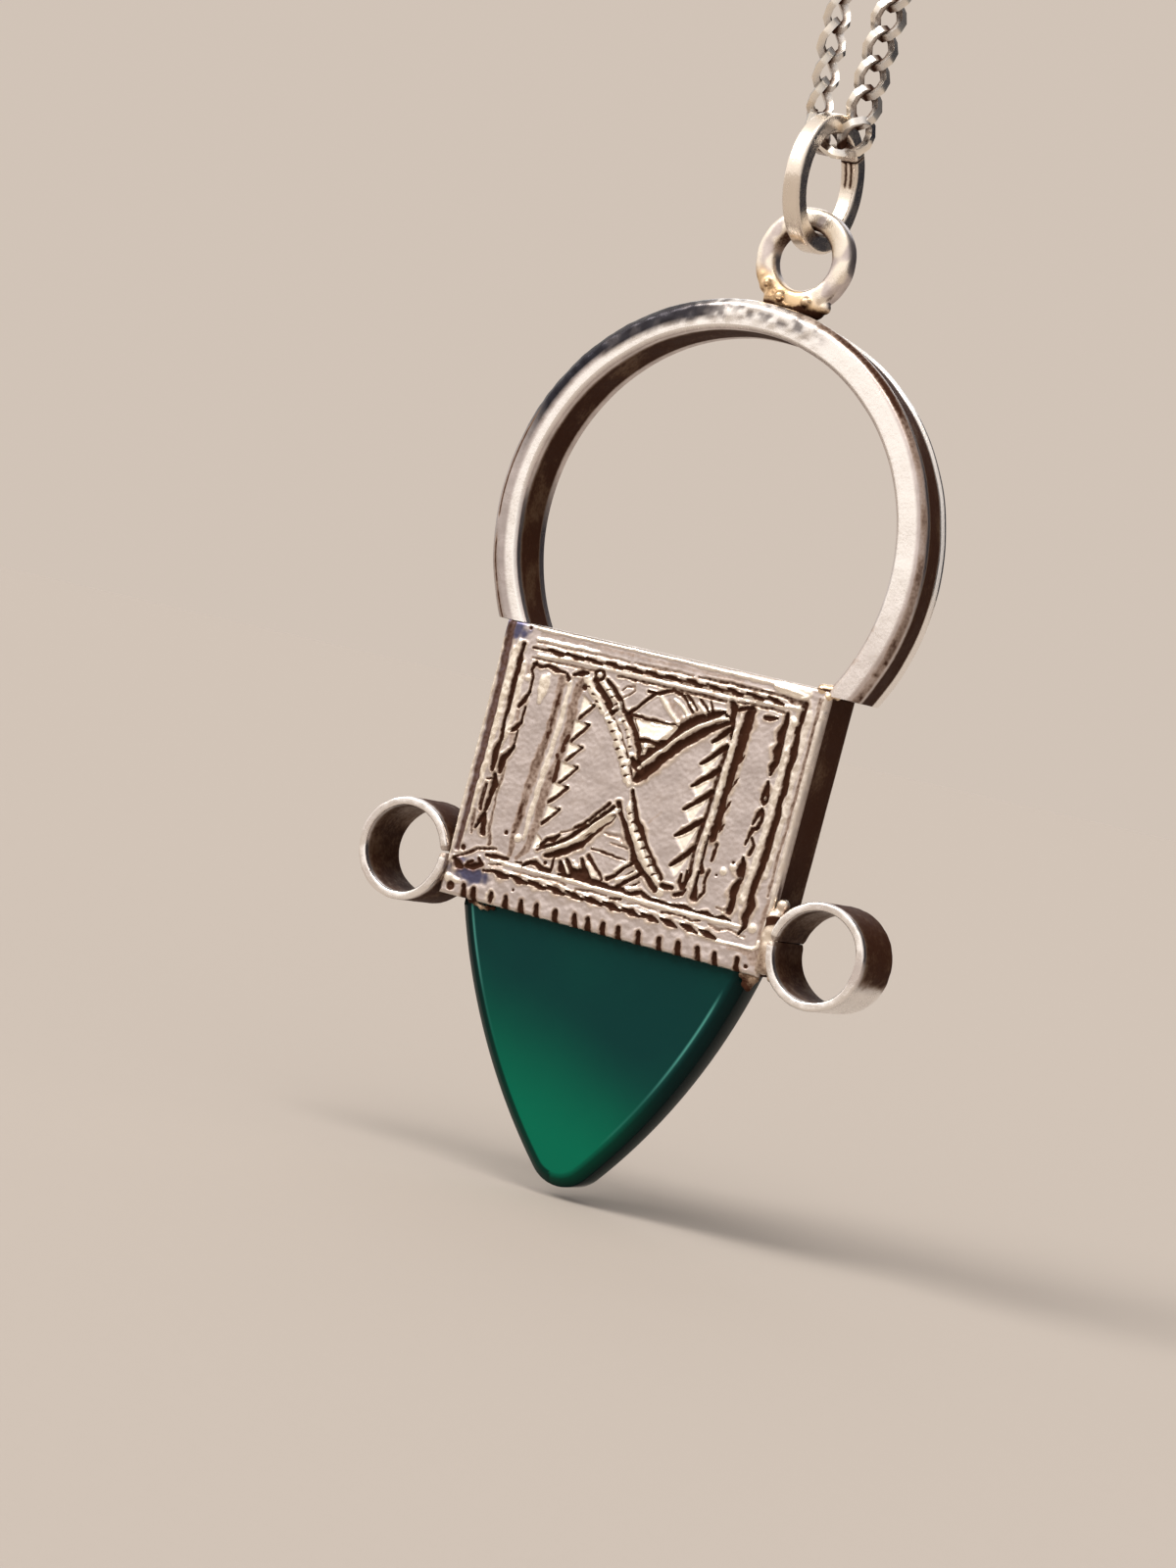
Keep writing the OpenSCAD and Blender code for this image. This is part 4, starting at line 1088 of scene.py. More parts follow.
def stone_outline(inset, steps):
    """The tongue's outline: two long arcs that pass the mouth's corners and touch the tip's arc."""
    half = STONE_WIDTH / 2
    tip_z = STONE_TIP_RADIUS - STONE_DROP
    reach = STONE_SIDE_RADIUS - STONE_TIP_RADIUS
    run = math.hypot(half, tip_z)
    fall = math.atan2(-tip_z, half)
    turn = math.acos((STONE_SIDE_RADIUS ** 2 + run ** 2 - reach ** 2) / (2 * STONE_SIDE_RADIUS * run))
    centre_x = half - STONE_SIDE_RADIUS * math.cos(turn - fall)
    centre_z = STONE_SIDE_RADIUS * math.sin(turn - fall)
    side_r, tip_r = STONE_SIDE_RADIUS - inset, STONE_TIP_RADIUS - inset
    touch = math.atan2(tip_z - centre_z, -centre_x)
    corner = -math.asin(centre_z / side_r)
    right = [(centre_x + side_r * math.cos(a), centre_z + side_r * math.sin(a))
             for a in np.linspace(corner, touch, steps)]
    tip = [(tip_r * math.cos(a), tip_z + tip_r * math.sin(a))
           for a in np.linspace(touch, -math.pi - touch, steps // 2)[1:-1]]
    left = [(-px, pz) for px, pz in reversed(right)]
    shoulder = half - inset
    tang = [(-shoulder, pz) for pz in (1.5, 3.0, 4.5)] + [(-shoulder + 0.15, STONE_TANG - inset)]
    tang += [(shoulder * k / 4, STONE_TANG - inset) for k in (-2, 0, 2)]
    tang += [(shoulder - 0.15, STONE_TANG - inset)] + [(shoulder, pz) for pz in (4.5, 3.0, 1.5)]
    return np.array(right + tip + left + tang)


def stone_piece(sizes):
    """The tongue of green stone, given a high polish, its bevels softened at every edge."""
    bevel, soft = sizes.stone_bevel, 0.05
    gap = (BOX_DEPTH - PLATE_THICKNESS - WALL - STONE_THICKNESS) / 2
    front = PLATE_THICKNESS + gap
    back = front + STONE_THICKNESS
    # Inset from the outline, depth, and the shares of the light line, a painted reflection, and of the
    # dark bevel, a painted shade
    rings = [
        (None, front, 0, 0), (bevel + 0.34, front, 0, 0), (bevel + 0.24, front, 1, 0),
        (bevel + 0.16, front, 0.1, 0.3), (bevel + 0.05, front + 0.006, 0, 0.45),
        (bevel - 0.035, front + 0.045, 0, 0.6), (soft, front + bevel - soft * 0.8, 0, 0.9),
        (soft * 0.25, front + bevel, 0, 1), (0.0, front + bevel + soft, 0, 1),
        (0.0, back - bevel - soft, 0, 0.9), (soft * 0.25, back - bevel, 0, 0.6),
        (soft, back - bevel + soft * 0.8, 0, 0.6), (bevel - soft * 0.7, back - soft * 0.9, 0, 0.6),
        (bevel + soft, back - 0.006, 0, 0.3), (bevel + soft * 2, back, 0, 0), (None, back, 0, 0),
    ]
    tilt = math.radians(-STONE_LEAN)
    points, finish = [], []
    for inset, y, line, dark in rings:
        outline = stone_outline(bevel + 0.4 if inset is None else inset, 60)
        if inset is None:
            # A small ring round the stone's middle, for the faces that close the front and the back
            outline = outline + (np.array([0.1, -1.5]) - outline) * 0.3
        x = outline[:, 0] * math.cos(tilt) + outline[:, 1] * math.sin(tilt) + STONE_X
        z = -outline[:, 0] * math.sin(tilt) + outline[:, 1] * math.cos(tilt)
        points.append(bound(x, y, z))
        # The painted reflection line shows on set stretches of the right and left edges
        on_right = (x > 0) * (0.12 + 0.6 * fade(z, -7, -3.5))
        on_right = on_right * (1 - fade(z, -2.2, -0.8)) * fade(z, -9, -8)
        on_left = (x < 0) * (0.1 + 0.5 * fade(z, -4.2, -1.8)) * fade(z, -6.5, -4)
        # Painted shade is heavier on the left bevels
        shade = np.where((x < 0) & (dark > 0), np.maximum(dark, 0.85), dark)
        finish.append(bound(line * np.maximum(on_right, on_left), shade, 0))
    faces = grid_faces(len(rings), len(points[0]), columns_close=True)
    return piece_from("stone_tongue", in_pendant(np.array(points)), faces, np.array(finish), 25)


def jump_ring_piece():
    """The jump ring: a flat-faced wire bent round, with its ends meeting in a butt seam."""
    low, high = (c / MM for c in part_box("jump_ring"))
    centre = (low + high) / 2
    half = JUMP_WIRE / 2
    section = np.array(rounded((
        (-half, -half, 0.16), (half, -half, 0.16), (half, half, 0.16), (-half, half, 0.16),
    ), 4, 0.14))
    seam = math.radians(JUMP_SEAM)
    points, faces, turn = ring_wire_points(centre, JUMP_RADIUS, section, "x", 150, seam, JUMP_GAP)
    local = points - np.array(centre)
    after_seam = np.degrees(np.repeat(turn, len(section))) - JUMP_SEAM
    out = np.hypot(local[:, 1], local[:, 2]) - JUMP_RADIUS
    side = local[:, 0]
    blotch = rough(local, 1.2, 1.9)
    grit = rough(local, 0.25, 2.9)
    # Two lines along the wire, on the last stretch before the seam
    marked = fade(after_seam - 360, -32, -28)
    lines = (np.exp(-((side + 0.12) / 0.05) ** 2) + np.exp(-((side - 0.14) / 0.05) ** 2)) * marked
    squeeze = 1 - 0.04 * lines - 0.012 * (1 + blotch) - 0.006 * (1 + grit)
    outward = local[:, 1:] / np.linalg.norm(local[:, 1:], axis=1)[:, None]
    local[:, 1:] = outward * (JUMP_RADIUS + out * squeeze)[:, None]
    local[:, 0] *= squeeze
    inner = 1 - fade(out, -half + 0.02, -half + 0.12)
    near_seam = 1 - fade(np.minimum(np.abs(after_seam), np.abs(after_seam - 360)), 0.5, 2.5)
    far_branch = fade(local[:, 1], 0.6, 1.6)
    tarnish_and_shade = 0.8 * inner * (0.9 + 0.5 * blotch) * (1 - 0.9 * far_branch)
    tarnish_and_shade += 0.85 * lines + 0.7 * near_seam + 0.25 * np.clip(blotch, 0, 1)
    edge = fade(np.maximum(np.abs(out), np.abs(side)), half - 0.1, half - 0.02)
    finish = bound(tarnish_and_shade, 0.3 + 0.5 * edge, 0)
    return piece_from("jump_ring_wire", local + np.array(centre), faces, finish, 45)


# Node trees


def add(tree, kind, inputs=None, **settings):
    """A new node, its settings and its inputs: values, or sockets to link from."""
    node = tree.nodes.new(kind)
    for key, value in settings.items():
        setattr(node, key, value)
    for key, value in (inputs or {}).items():
        if isinstance(value, bpy.types.NodeSocket):
            tree.links.new(value, node.inputs[key])
        else:
            node.inputs[key].default_value = value
    return node


def maths(tree, operation, a, b=0.0, c=0.0, clamp=False):
    """The outcome of one sum on values or sockets."""
    inputs = {0: a, 1: b, 2: c}
    return add(tree, "ShaderNodeMath", inputs, operation=operation, use_clamp=clamp).outputs[0]


def smooth_step(tree, value, low, high):
    """0 at low, 1 at high and a smooth step between."""
    inputs = {0: value, 1: low, 2: high}
    return add(tree, "ShaderNodeMapRange", inputs, interpolation_type="SMOOTHSTEP").outputs[0]


def add_sockets(tree, kind, defaults):
    """Named inputs of one kind on a tree, with their defaults."""
    for name, default in defaults.items():
        socket = tree.interface.new_socket(name, in_out="INPUT", socket_type="NodeSocket" + kind)
        socket.default_value = default


def mixed(tree, factor, a, b):
    """A colour between a and b."""
    return add(tree, "ShaderNodeMix", {0: factor, 6: a, 7: b}, data_type="RGBA").outputs[2]


def chain_link_tree():
    """Geometry nodes that hang twisted links along a curve and make them one mesh."""
    tree = bpy.data.node_groups.new("Curb links", "GeometryNodeTree")
    tree.interface.new_socket("Route", in_out="INPUT", socket_type="NodeSocketGeometry")
    add_sockets(tree, "Float", {
        "Pitch": 0.0016, "Link length": 0.0024, "Link width": 0.0017, "Wire": 0.0004, "Twist": 0.8,
        "Scatter": 0.1,
    })
    add_sockets(tree, "Int", {"Bends": 16, "Wire sides": 6, "Seed": 1})
    tree.interface.new_socket("Material", in_out="INPUT", socket_type="NodeSocketMaterial")
    tree.interface.new_socket("Links", in_out="OUTPUT", socket_type="NodeSocketGeometry")
    given = add(tree, "NodeGroupInput").outputs

    # One link: a round wire bent to an oval, whose ends are turned opposite ways
    circle = add(tree, "GeometryNodeCurvePrimitiveCircle", {"Resolution": given["Bends"], "Radius": 1.0})
    place = add(tree, "ShaderNodeSeparateXYZ", {0: add(tree, "GeometryNodeInputPosition").outputs[0]})
    length = maths(tree, "SUBTRACT", given["Link length"], given["Wire"])
    width = maths(tree, "SUBTRACT", given["Link width"], given["Wire"])
    turn = maths(tree, "MULTIPLY", place.outputs[0], given["Twist"])
    across = maths(tree, "MULTIPLY", place.outputs[1], maths(tree, "MULTIPLY", width, 0.5))
    oval = add(tree, "ShaderNodeCombineXYZ", {
        0: maths(tree, "MULTIPLY", place.outputs[0], maths(tree, "MULTIPLY", length, 0.5)),
        1: maths(tree, "MULTIPLY", across, maths(tree, "COSINE", turn)),
        2: maths(tree, "MULTIPLY", across, maths(tree, "SINE", turn)),
    })
    bent = add(tree, "GeometryNodeSetPosition", {
        "Geometry": circle.outputs["Curve"], "Position": oval.outputs[0],
    })
    profile = add(tree, "GeometryNodeCurvePrimitiveCircle", {
        "Resolution": given["Wire sides"], "Radius": maths(tree, "MULTIPLY", given["Wire"], 0.5),
    })
    link = add(tree, "GeometryNodeCurveToMesh", {
        "Curve": bent.outputs[0], "Profile Curve": profile.outputs["Curve"],
    })
    rounded_link = add(tree, "GeometryNodeSetShadeSmooth", {"Geometry": link.outputs[0]})

    # A place for each link, turned along the route with its flat side to the front or side
    spots = add(tree, "GeometryNodeResampleCurve", {
        "Curve": given["Route"], "Length": given["Pitch"],
    }, mode="LENGTH")
    along = add(tree, "GeometryNodeInputTangent").outputs[0]
    facing = add(tree, "FunctionNodeAxesToRotation", {
        "Primary Axis": along, "Secondary Axis": (0.86, 0.5, 0.0),
    }, primary_axis="X", secondary_axis="Y")
    swing = add(tree, "FunctionNodeRandomValue", {"Seed": given["Seed"]}, data_type="FLOAT")
    tree.links.new(given["Scatter"], swing.inputs[3])
    tree.links.new(maths(tree, "MULTIPLY", given["Scatter"], -1.0), swing.inputs[2])
    # The left strand shows its narrow side to the front
    on_left = maths(tree, "LESS_THAN", place.outputs[0], -0.0005)
    angle = maths(tree, "MULTIPLY_ADD", on_left, 0.8, swing.outputs[1])
    roll = add(tree, "FunctionNodeAxisAngleToRotation", {"Axis": (1.0, 0.0, 0.0), "Angle": angle})
    turned = add(tree, "FunctionNodeRotateRotation", {
        0: facing.outputs[0], 1: roll.outputs[0],
    }, rotation_space="LOCAL")
    hung = add(tree, "GeometryNodeInstanceOnPoints", {
        "Points": spots.outputs[0], "Instance": rounded_link.outputs[0], "Rotation": turned.outputs[0],
    })
    real = add(tree, "GeometryNodeRealizeInstances", {"Geometry": hung.outputs[0]})
    covered = add(tree, "GeometryNodeSetMaterial", {
        "Geometry": real.outputs[0], "Material": given["Material"],
    })
    add(tree, "NodeGroupOutput", {0: covered.outputs[0]})
    return tree


def with_nodes(name, source, tree, values):
    """The plain mesh that a node tree makes from a source object, as a new object."""
    modifier = source.modifiers.new(tree.name, "NODES")
    modifier.node_group = tree
    sockets = {s.name: s.identifier for s in tree.interface.items_tree if s.in_out == "INPUT"}
    for key, value in values.items():
        modifier[sockets[key]] = value
    mesh = plain_mesh(source)
    mesh.name = name
    bpy.data.objects.remove(source)
    return placed(name, mesh)


def route_curve(points):
    """A curve of straight runs through points [x, z]."""
    curve = bpy.data.curves.new("route", "CURVE")
    curve.dimensions = "3D"
    spline = curve.splines.new("POLY")
    spline.points.add(len(points) - 1)
    for spot, (x, z) in zip(spline.points, points):
        spot.co = (x * MM, 0.0, z * MM, 1.0)
    return placed("route", curve)


def chain_piece(sizes, material):
    """The chain's links. A link lies at the lowest point, where it carries the jump ring."""
    lowest = min(range(len(CHAIN_ROUTE)), key=lambda i: CHAIN_ROUTE[i][1])
    runs = [math.dist(a, b) * MM for a, b in zip(CHAIN_ROUTE, CHAIN_ROUTE[1:])]
    down, total = sum(runs[:lowest]), sum(runs)
    guess = round(down / sizes.link_pitch)
    links_down = min(range(guess - 3, guess + 4), key=lambda n: (total / down * n) % 1)
    piece = with_nodes("chain_links", route_curve(CHAIN_ROUTE), chain_link_tree(), {
        "Pitch": down / links_down, "Link length": sizes.link_length, "Link width": sizes.link_width,
        "Wire": sizes.link_wire, "Twist": sizes.link_twist, "Scatter": 0.12, "Seed": 4,
        "Bends": sizes.link_bends, "Wire sides": sizes.link_sides, "Material": material,
    })
    face_outwards(piece.data, doubles=1e-7)
    smooth(piece.data, 80)
    # Painted shade near the route, where the links pass through each other, and a painted highlight on
    # their outer sides
    away = from_route(np.array([v.co for v in piece.data.vertices]) / MM)
    paint(piece.data, bound(0.9 - fade(away, 0.2, 0.5), fade(away, 0.5, 0.75), 0))
    return piece


def from_route(points):
    """Distance of points from the chain's route."""
    best = np.full(len(points), FAR)
    for (ax, az), (bx, bz) in zip(CHAIN_ROUTE, CHAIN_ROUTE[1:]):
        start, run = np.array((ax, 0, az)), np.array((bx - ax, 0, bz - az))
        t = np.clip((points - start) @ run / (run @ run), 0, 1)
        best = np.minimum(best, np.linalg.norm(points - start - t[:, None] * run, axis=1))
    return best


# Materials


def worn_silver_group():
    """Colour, roughness, metal share and height of handled silver, from its finish masks, which carry
    painted shade and painted highlight as well as tarnishing, stains and rubbing.
    """
    tree = bpy.data.node_groups.new("Worn silver", "ShaderNodeTree")
    add_sockets(tree, "Color", {
        "Clean": (0.8, 0.74, 0.68, 1), "Bright": (0.95, 0.93, 0.9, 1), "Patina": (0.3, 0.17, 0.08, 1),
        "Tarnish colour": (0.05, 0.03, 0.02, 1), "Stain colour": (0.3, 0.33, 0.4, 1),
    })
    add_sockets(tree, "Float", {
        "Tarnish_and_shade": 0.0, "Wear_and_highlight": 0.0, "Stain_and_shade": 0.0, "Patch size": 1.0, "Polish": 0.3,
    })
    tree.interface.new_socket("Colour", in_out="OUTPUT", socket_type="NodeSocketColor")
    for name in ("Roughness", "Metallic", "Height"):
        tree.interface.new_socket(name, in_out="OUTPUT", socket_type="NodeSocketFloat")
    given = add(tree, "NodeGroupInput").outputs
    spot = add(tree, "ShaderNodeTexCoord").outputs["Object"]
    # Bumps of the patches are about as many millimetres across as the patch size says
    scale = maths(tree, "DIVIDE", 1000.0, given["Patch size"])
    patches = add(tree, "ShaderNodeTexNoise", {
        "Vector": spot, "Scale": scale, "Detail": 5.0, "Roughness": 0.6,
    })
    fine = add(tree, "ShaderNodeTexNoise", {
        "Vector": spot, "Scale": maths(tree, "MULTIPLY", scale, 7.0), "Detail": 3.0,
    }).outputs[0]
    stretched = add(tree, "ShaderNodeMapping", {
        "Vector": spot, "Scale": (1.0, 1.0, 0.12), "Rotation": (0.0, 0.6, 0.0),
    })
    scratch = add(tree, "ShaderNodeTexNoise", {
        "Vector": stretched.outputs[0], "Scale": maths(tree, "MULTIPLY", scale, 16.0), "Detail": 2.0,
    }).outputs[0]
    patch = add(tree, "ShaderNodeMapRange", {0: patches.outputs[0], 1: 0.35, 2: 0.65}).outputs[0]
    dull = mixed(tree, 0.4, given["Clean"], given["Tarnish colour"])
    base = mixed(tree, maths(tree, "MULTIPLY", patch, 0.65), given["Clean"], dull)
    # Rubbing and painted highlight lighten the silver towards the bright colour
    bright = mixed(tree, maths(tree, "MULTIPLY", given["Wear_and_highlight"], 0.8), base, given["Bright"])
    # The third mask tints the silver: stains and solder, and the painted dark reflection and shade on
    # walls and in the plate's left channel
    stained = mixed(tree, given["Stain_and_shade"], bright, given["Stain colour"])
    # Fine noise breaks up the edges of the dark parts, tarnishing and painted shade alike
    broken = maths(tree, "ADD", given["Tarnish_and_shade"], maths(tree, "MULTIPLY_ADD", fine, 0.4, -0.2))
    dark = smooth_step(tree, broken, 0.15, 0.8)
    # Darkened parts turn brown: patina in hollows, and painted shade on walls, at the top ring's foot and
    # where links cross
    brown = mixed(tree, dark, given["Patina"], given["Tarnish colour"])
    colour = mixed(tree, maths(tree, "POWER", dark, 0.75), stained, brown)
    dry = maths(tree, "MULTIPLY_ADD", dark, 0.3, given["Polish"])
    mottled = maths(tree, "MULTIPLY_ADD", patch, 0.1, dry)
    worn = maths(tree, "MULTIPLY_ADD", given["Wear_and_highlight"], -0.08, mottled)
    roughness = maths(tree, "MULTIPLY_ADD", scratch, 0.1, worn, clamp=True)
    metallic = maths(tree, "MULTIPLY_ADD", dark, -0.95, 1.0, clamp=True)
    lines = maths(tree, "MULTIPLY", scratch, 0.5)
    height = maths(tree, "ADD", maths(tree, "MULTIPLY", fine, 0.5), lines)
    add(tree, "NodeGroupOutput", {0: colour, 1: roughness, 2: metallic, 3: height})
    return tree


def new_material(name):
    """The empty node tree of a new material."""
    material = bpy.data.materials.new(name)
    material.use_nodes = True
    material.node_tree.nodes.clear()
    return material.node_tree


def finish_masks(tree):
    """The piece's three masks."""
    masks = add(tree, "ShaderNodeAttribute", attribute_name="finish")
    return add(tree, "ShaderNodeSeparateColor", {0: masks.outputs["Color"]}).outputs


def silver_material(name, group, colours, clean, stain_and_shade, bright=None, patch=1.0, polish=0.25, relief=0.25):
    """A silver finish, whose masks come from the piece."""
    tree = new_material(name)
    masks = finish_masks(tree)
    worn = add(tree, "ShaderNodeGroup", {
        "Clean": clean, "Bright": bright or colours.polished_and_highlight, "Patina": colours.patina,
        "Tarnish colour": colours.tarnish_and_shade, "Stain colour": stain_and_shade, "Patch size": patch, "Polish": polish,
        "Tarnish_and_shade": masks[0], "Wear_and_highlight": masks[1], "Stain_and_shade": masks[2],
    }, node_tree=group).outputs
    bump = add(tree, "ShaderNodeBump", {
        "Height": worn["Height"], "Strength": relief, "Distance": 0.00005,
    })
    shader = add(tree, "ShaderNodeBsdfPrincipled", {
        "Base Color": worn["Colour"], "Roughness": worn["Roughness"], "Metallic": worn["Metallic"],
        "Specular IOR Level": 0.04, "Normal": bump.outputs[0],
    })
    add(tree, "ShaderNodeOutputMaterial", {0: shader.outputs[0]})


def stone_material(deep, bright, edge):
    """Polished green stone, with painted shade darkening it at the mouth and painted light brightening it
    at the tip. Its masks mark the painted light line and the painted dark bevels at the edges.
    """
    tree = new_material("green stone")
    spot = add(tree, "ShaderNodeTexCoord").outputs["Object"]
    place = add(tree, "ShaderNodeSeparateXYZ", {0: spot}).outputs
    # The painted shade gives way to painted light along a line that slants down to the right
    mouth = (PENDANT_AT.z + STONE_SLANT * PENDANT_AT.x) * MM
    slanted = maths(tree, "MULTIPLY_ADD", place[0], STONE_SLANT, place[2])
    ramp = smooth_step(tree, slanted, mouth - 0.0098, mouth - 0.0032)
    cloud = add(tree, "ShaderNodeTexNoise", {"Vector": spot, "Scale": 260.0, "Detail": 3.0})
    drift = maths(tree, "MULTIPLY_ADD", cloud.outputs[0], 0.24, -0.12)
    body = mixed(tree, maths(tree, "ADD", ramp, drift, clamp=True), bright, deep)
    masks = finish_masks(tree)
    # A painted reflection: the light line inside the edges
    lined = mixed(tree, masks[0], body, edge)
    # Painted shade on the bevels
    colour = mixed(tree, masks[1], lined, (0.0015, 0.008, 0.008, 1))
    shader = add(tree, "ShaderNodeBsdfPrincipled", {
        "Base Color": colour, "Roughness": 0.07, "IOR": 1.54, "Transmission Weight": 0.05,
        "Specular IOR Level": 0.04,
    })
    add(tree, "ShaderNodeOutputMaterial", {0: shader.outputs[0]})


def paper_material(colour):
    """A matt pale floor with a fine grain."""
    tree = new_material("pale floor")
    spot = add(tree, "ShaderNodeTexCoord").outputs["Object"]
    grain = add(tree, "ShaderNodeTexNoise", {"Vector": spot, "Scale": 900.0, "Detail": 4.0})
    bump = add(tree, "ShaderNodeBump", {"Height": grain.outputs[0], "Strength": 0.06, "Distance": 0.0002})
    shader = add(tree, "ShaderNodeBsdfPrincipled", {
        "Base Color": colour, "Roughness": 1.0, "Specular IOR Level": 0.0, "Normal": bump.outputs[0],
    })
    add(tree, "ShaderNodeOutputMaterial", {0: shader.outputs[0]})


def cover(piece, material):
    """Gives the piece one material."""
    piece.data.materials.clear()
    piece.data.materials.append(material)


def fasten(piece, body, node):
    """Rides the piece on its body and lets it stand for its CAD node."""
    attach(piece, body)
    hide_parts(node)


# Sizes and colours


class NecklaceSizes(bpy.types.PropertyGroup):
    """Sizes of the necklace's pieces"""
    plate_columns: bpy.props.IntProperty(
        name="Plate columns", description="Points across the engraved plate", default=345, min=60,
        max=350)
    engraving_depth: bpy.props.FloatProperty(
        name="Engraving depth", description="Share of the full depth of the cuts", default=1.0,
        subtype="FACTOR", min=0, max=1.5)
    hoop_steps: bpy.props.IntProperty(
        name="Hoop steps", description="Steps round the hoop, from foot to foot", default=300, min=60)
    stone_bevel: bpy.props.FloatProperty(
        name="Stone bevel", description="Width of the stone's bevels, in millimetres", default=0.4)
    link_pitch: bpy.props.FloatProperty(
        name="Link pitch", description="Distance between links", default=1.3 * MM, subtype="DISTANCE",
        unit="LENGTH", precision=5)
    link_length: bpy.props.FloatProperty(
        name="Link length", description="Length of a link over its wire", default=2.06 * MM,
        subtype="DISTANCE", unit="LENGTH", precision=5)
    link_width: bpy.props.FloatProperty(
        name="Link width", description="Width of a link over its wire", default=1.6 * MM,
        subtype="DISTANCE", unit="LENGTH", precision=5)
    link_wire: bpy.props.FloatProperty(
        name="Link wire", description="Thickness of the links' wire", default=0.46 * MM,
        subtype="DISTANCE", unit="LENGTH", precision=5)
    link_twist: bpy.props.FloatProperty(
        name="Link twist", description="How far each end of a link is turned", default=math.radians(45),
        subtype="ANGLE", unit="ROTATION")
    link_bends: bpy.props.IntProperty(
        name="Link bends", description="Points round a link", default=12, min=8)
    link_sides: bpy.props.IntProperty(
        name="Wire sides", description="Sides of the links' wire", default=4, min=4)


class NecklaceColours(bpy.types.PropertyGroup):
    """Colours of the finishes"""
    silver: bpy.props.FloatVectorProperty(
        name="Silver", description="Clean silver of the cross", default=(0.645, 0.57, 0.545, 1), size=4,
        subtype="COLOR", min=0, max=1)
    # Rubbed silver, made cream and bright so that it also paints a warm highlight
    polished_and_highlight: bpy.props.FloatVectorProperty(
        name="Polished silver", description="Silver rubbed bright on edges",
        default=(1.0, 0.91, 0.77, 1), size=4, subtype="COLOR", min=0, max=1)
    # The dark brown also paints the shade on walls, at the top ring's foot and where links cross
    tarnish_and_shade: bpy.props.FloatVectorProperty(
        name="Tarnish_and_shade", description="Brown tarnish in the cuts", default=(0.045, 0.017, 0.009, 1),
        size=4, subtype="COLOR", min=0, max=1)
    patina: bpy.props.FloatVectorProperty(
        name="Patina", description="Warm brown beside the cuts", default=(0.3, 0.16, 0.06, 1), size=4,
        subtype="COLOR", min=0, max=1)
    solder: bpy.props.FloatVectorProperty(
        name="Solder", description="Yellow solder at the joints", default=(0.8, 0.56, 0.3, 1), size=4,
        subtype="COLOR", min=0, max=1)
    # Also the painted shade in the channel along the plate's left edge
    stain_and_shade: bpy.props.FloatVectorProperty(
        name="Stain_and_shade", description="Blue-violet stain at the plate's left edge and corners",
        default=(0.1, 0.097, 0.165, 1), size=4, subtype="COLOR", min=0, max=1)
    # Rubbed silver of the hoop and tubes, made white so that it also paints the highlight on the hoop's
    # band
    white_silver_and_highlight: bpy.props.FloatVectorProperty(
        name="White silver", description="Silver of the hoop and tubes, rubbed white",
        default=(1.0, 0.97, 0.93, 1), size=4, subtype="COLOR", min=0, max=1)
    # Dark grey of the smeared solder on the hoop, and the painted dark reflection and shade on the walls
    # of the box, hoop and tubes
    smear_and_wall_shade: bpy.props.FloatVectorProperty(
        name="Dark walls", description="Dark grey of smeared solder and old walls",
        default=(0.028, 0.027, 0.034, 1), size=4, subtype="COLOR", min=0, max=1)
    chain: bpy.props.FloatVectorProperty(
        name="Chain silver", description="Bright silver of the chain",
        default=(0.73, 0.71, 0.69, 1), size=4, subtype="COLOR", min=0, max=1)
    # Painted shade: the stone darkened near the mouth, under the box
    stone_shaded: bpy.props.FloatVectorProperty(
        name="Stone at the mouth", description="Dark teal of the stone",
        default=(0.003, 0.034, 0.032, 1), size=4, subtype="COLOR", min=0, max=1)
    # Painted reflection: the light line inside the stone's edges
    stone_edge_reflection: bpy.props.FloatVectorProperty(
        name="Stone's edge line", description="Light teal line inside the stone's edges",
        default=(0.09, 0.36, 0.31, 1), size=4, subtype="COLOR", min=0, max=1)
    # Painted light: the stone brightened at the tip, as if lit through
    stone_lit: bpy.props.FloatVectorProperty(
        name="Stone at the tip", description="Bright green of the stone",
        default=(0.0015, 0.118, 0.066, 1), size=4, subtype="COLOR", min=0, max=1)
    floor: bpy.props.FloatVectorProperty(
        name="Floor", description="Pale floor", default=(0.406, 0.368, 0.335, 1), size=4,
        subtype="COLOR", min=0, max=1)


class StageSettings(bpy.types.PropertyGroup):
    """Places of the camera and the floor"""
    distance: bpy.props.FloatProperty(
        name="Camera distance", description="From the camera to its target", default=0.16448,
        subtype="DISTANCE", unit="LENGTH", precision=5)
    azimuth: bpy.props.FloatProperty(
        name="Camera azimuth", description="How far to the right of the front the camera stands",
        default=math.radians(29.425), subtype="ANGLE", unit="ROTATION")
    elevation: bpy.props.FloatProperty(
        name="Camera elevation", description="How far above the level the camera stands",
        default=math.radians(1.38), subtype="ANGLE", unit="ROTATION")
    roll: bpy.props.FloatProperty(
        name="Camera roll", description="Turn of the camera about its view", default=math.radians(13.15),
        subtype="ANGLE", unit="ROTATION")
    lens: bpy.props.FloatProperty(
        name="Lens", description="Focal length on a 36 mm sensor, in millimetres", default=87.15)
    drop: bpy.props.FloatProperty(
        name="Floor gap", description="From the lowest point down to the floor", default=0.5 * MM,
        subtype="DISTANCE", unit="LENGTH", precision=5)


# Where the camera looks, in the pendant's own coordinates
CAMERA_TARGET = (-2.24, 0.0, 6.19)
# Radius of the floor, in metres
FLOOR_RADIUS = 6.0


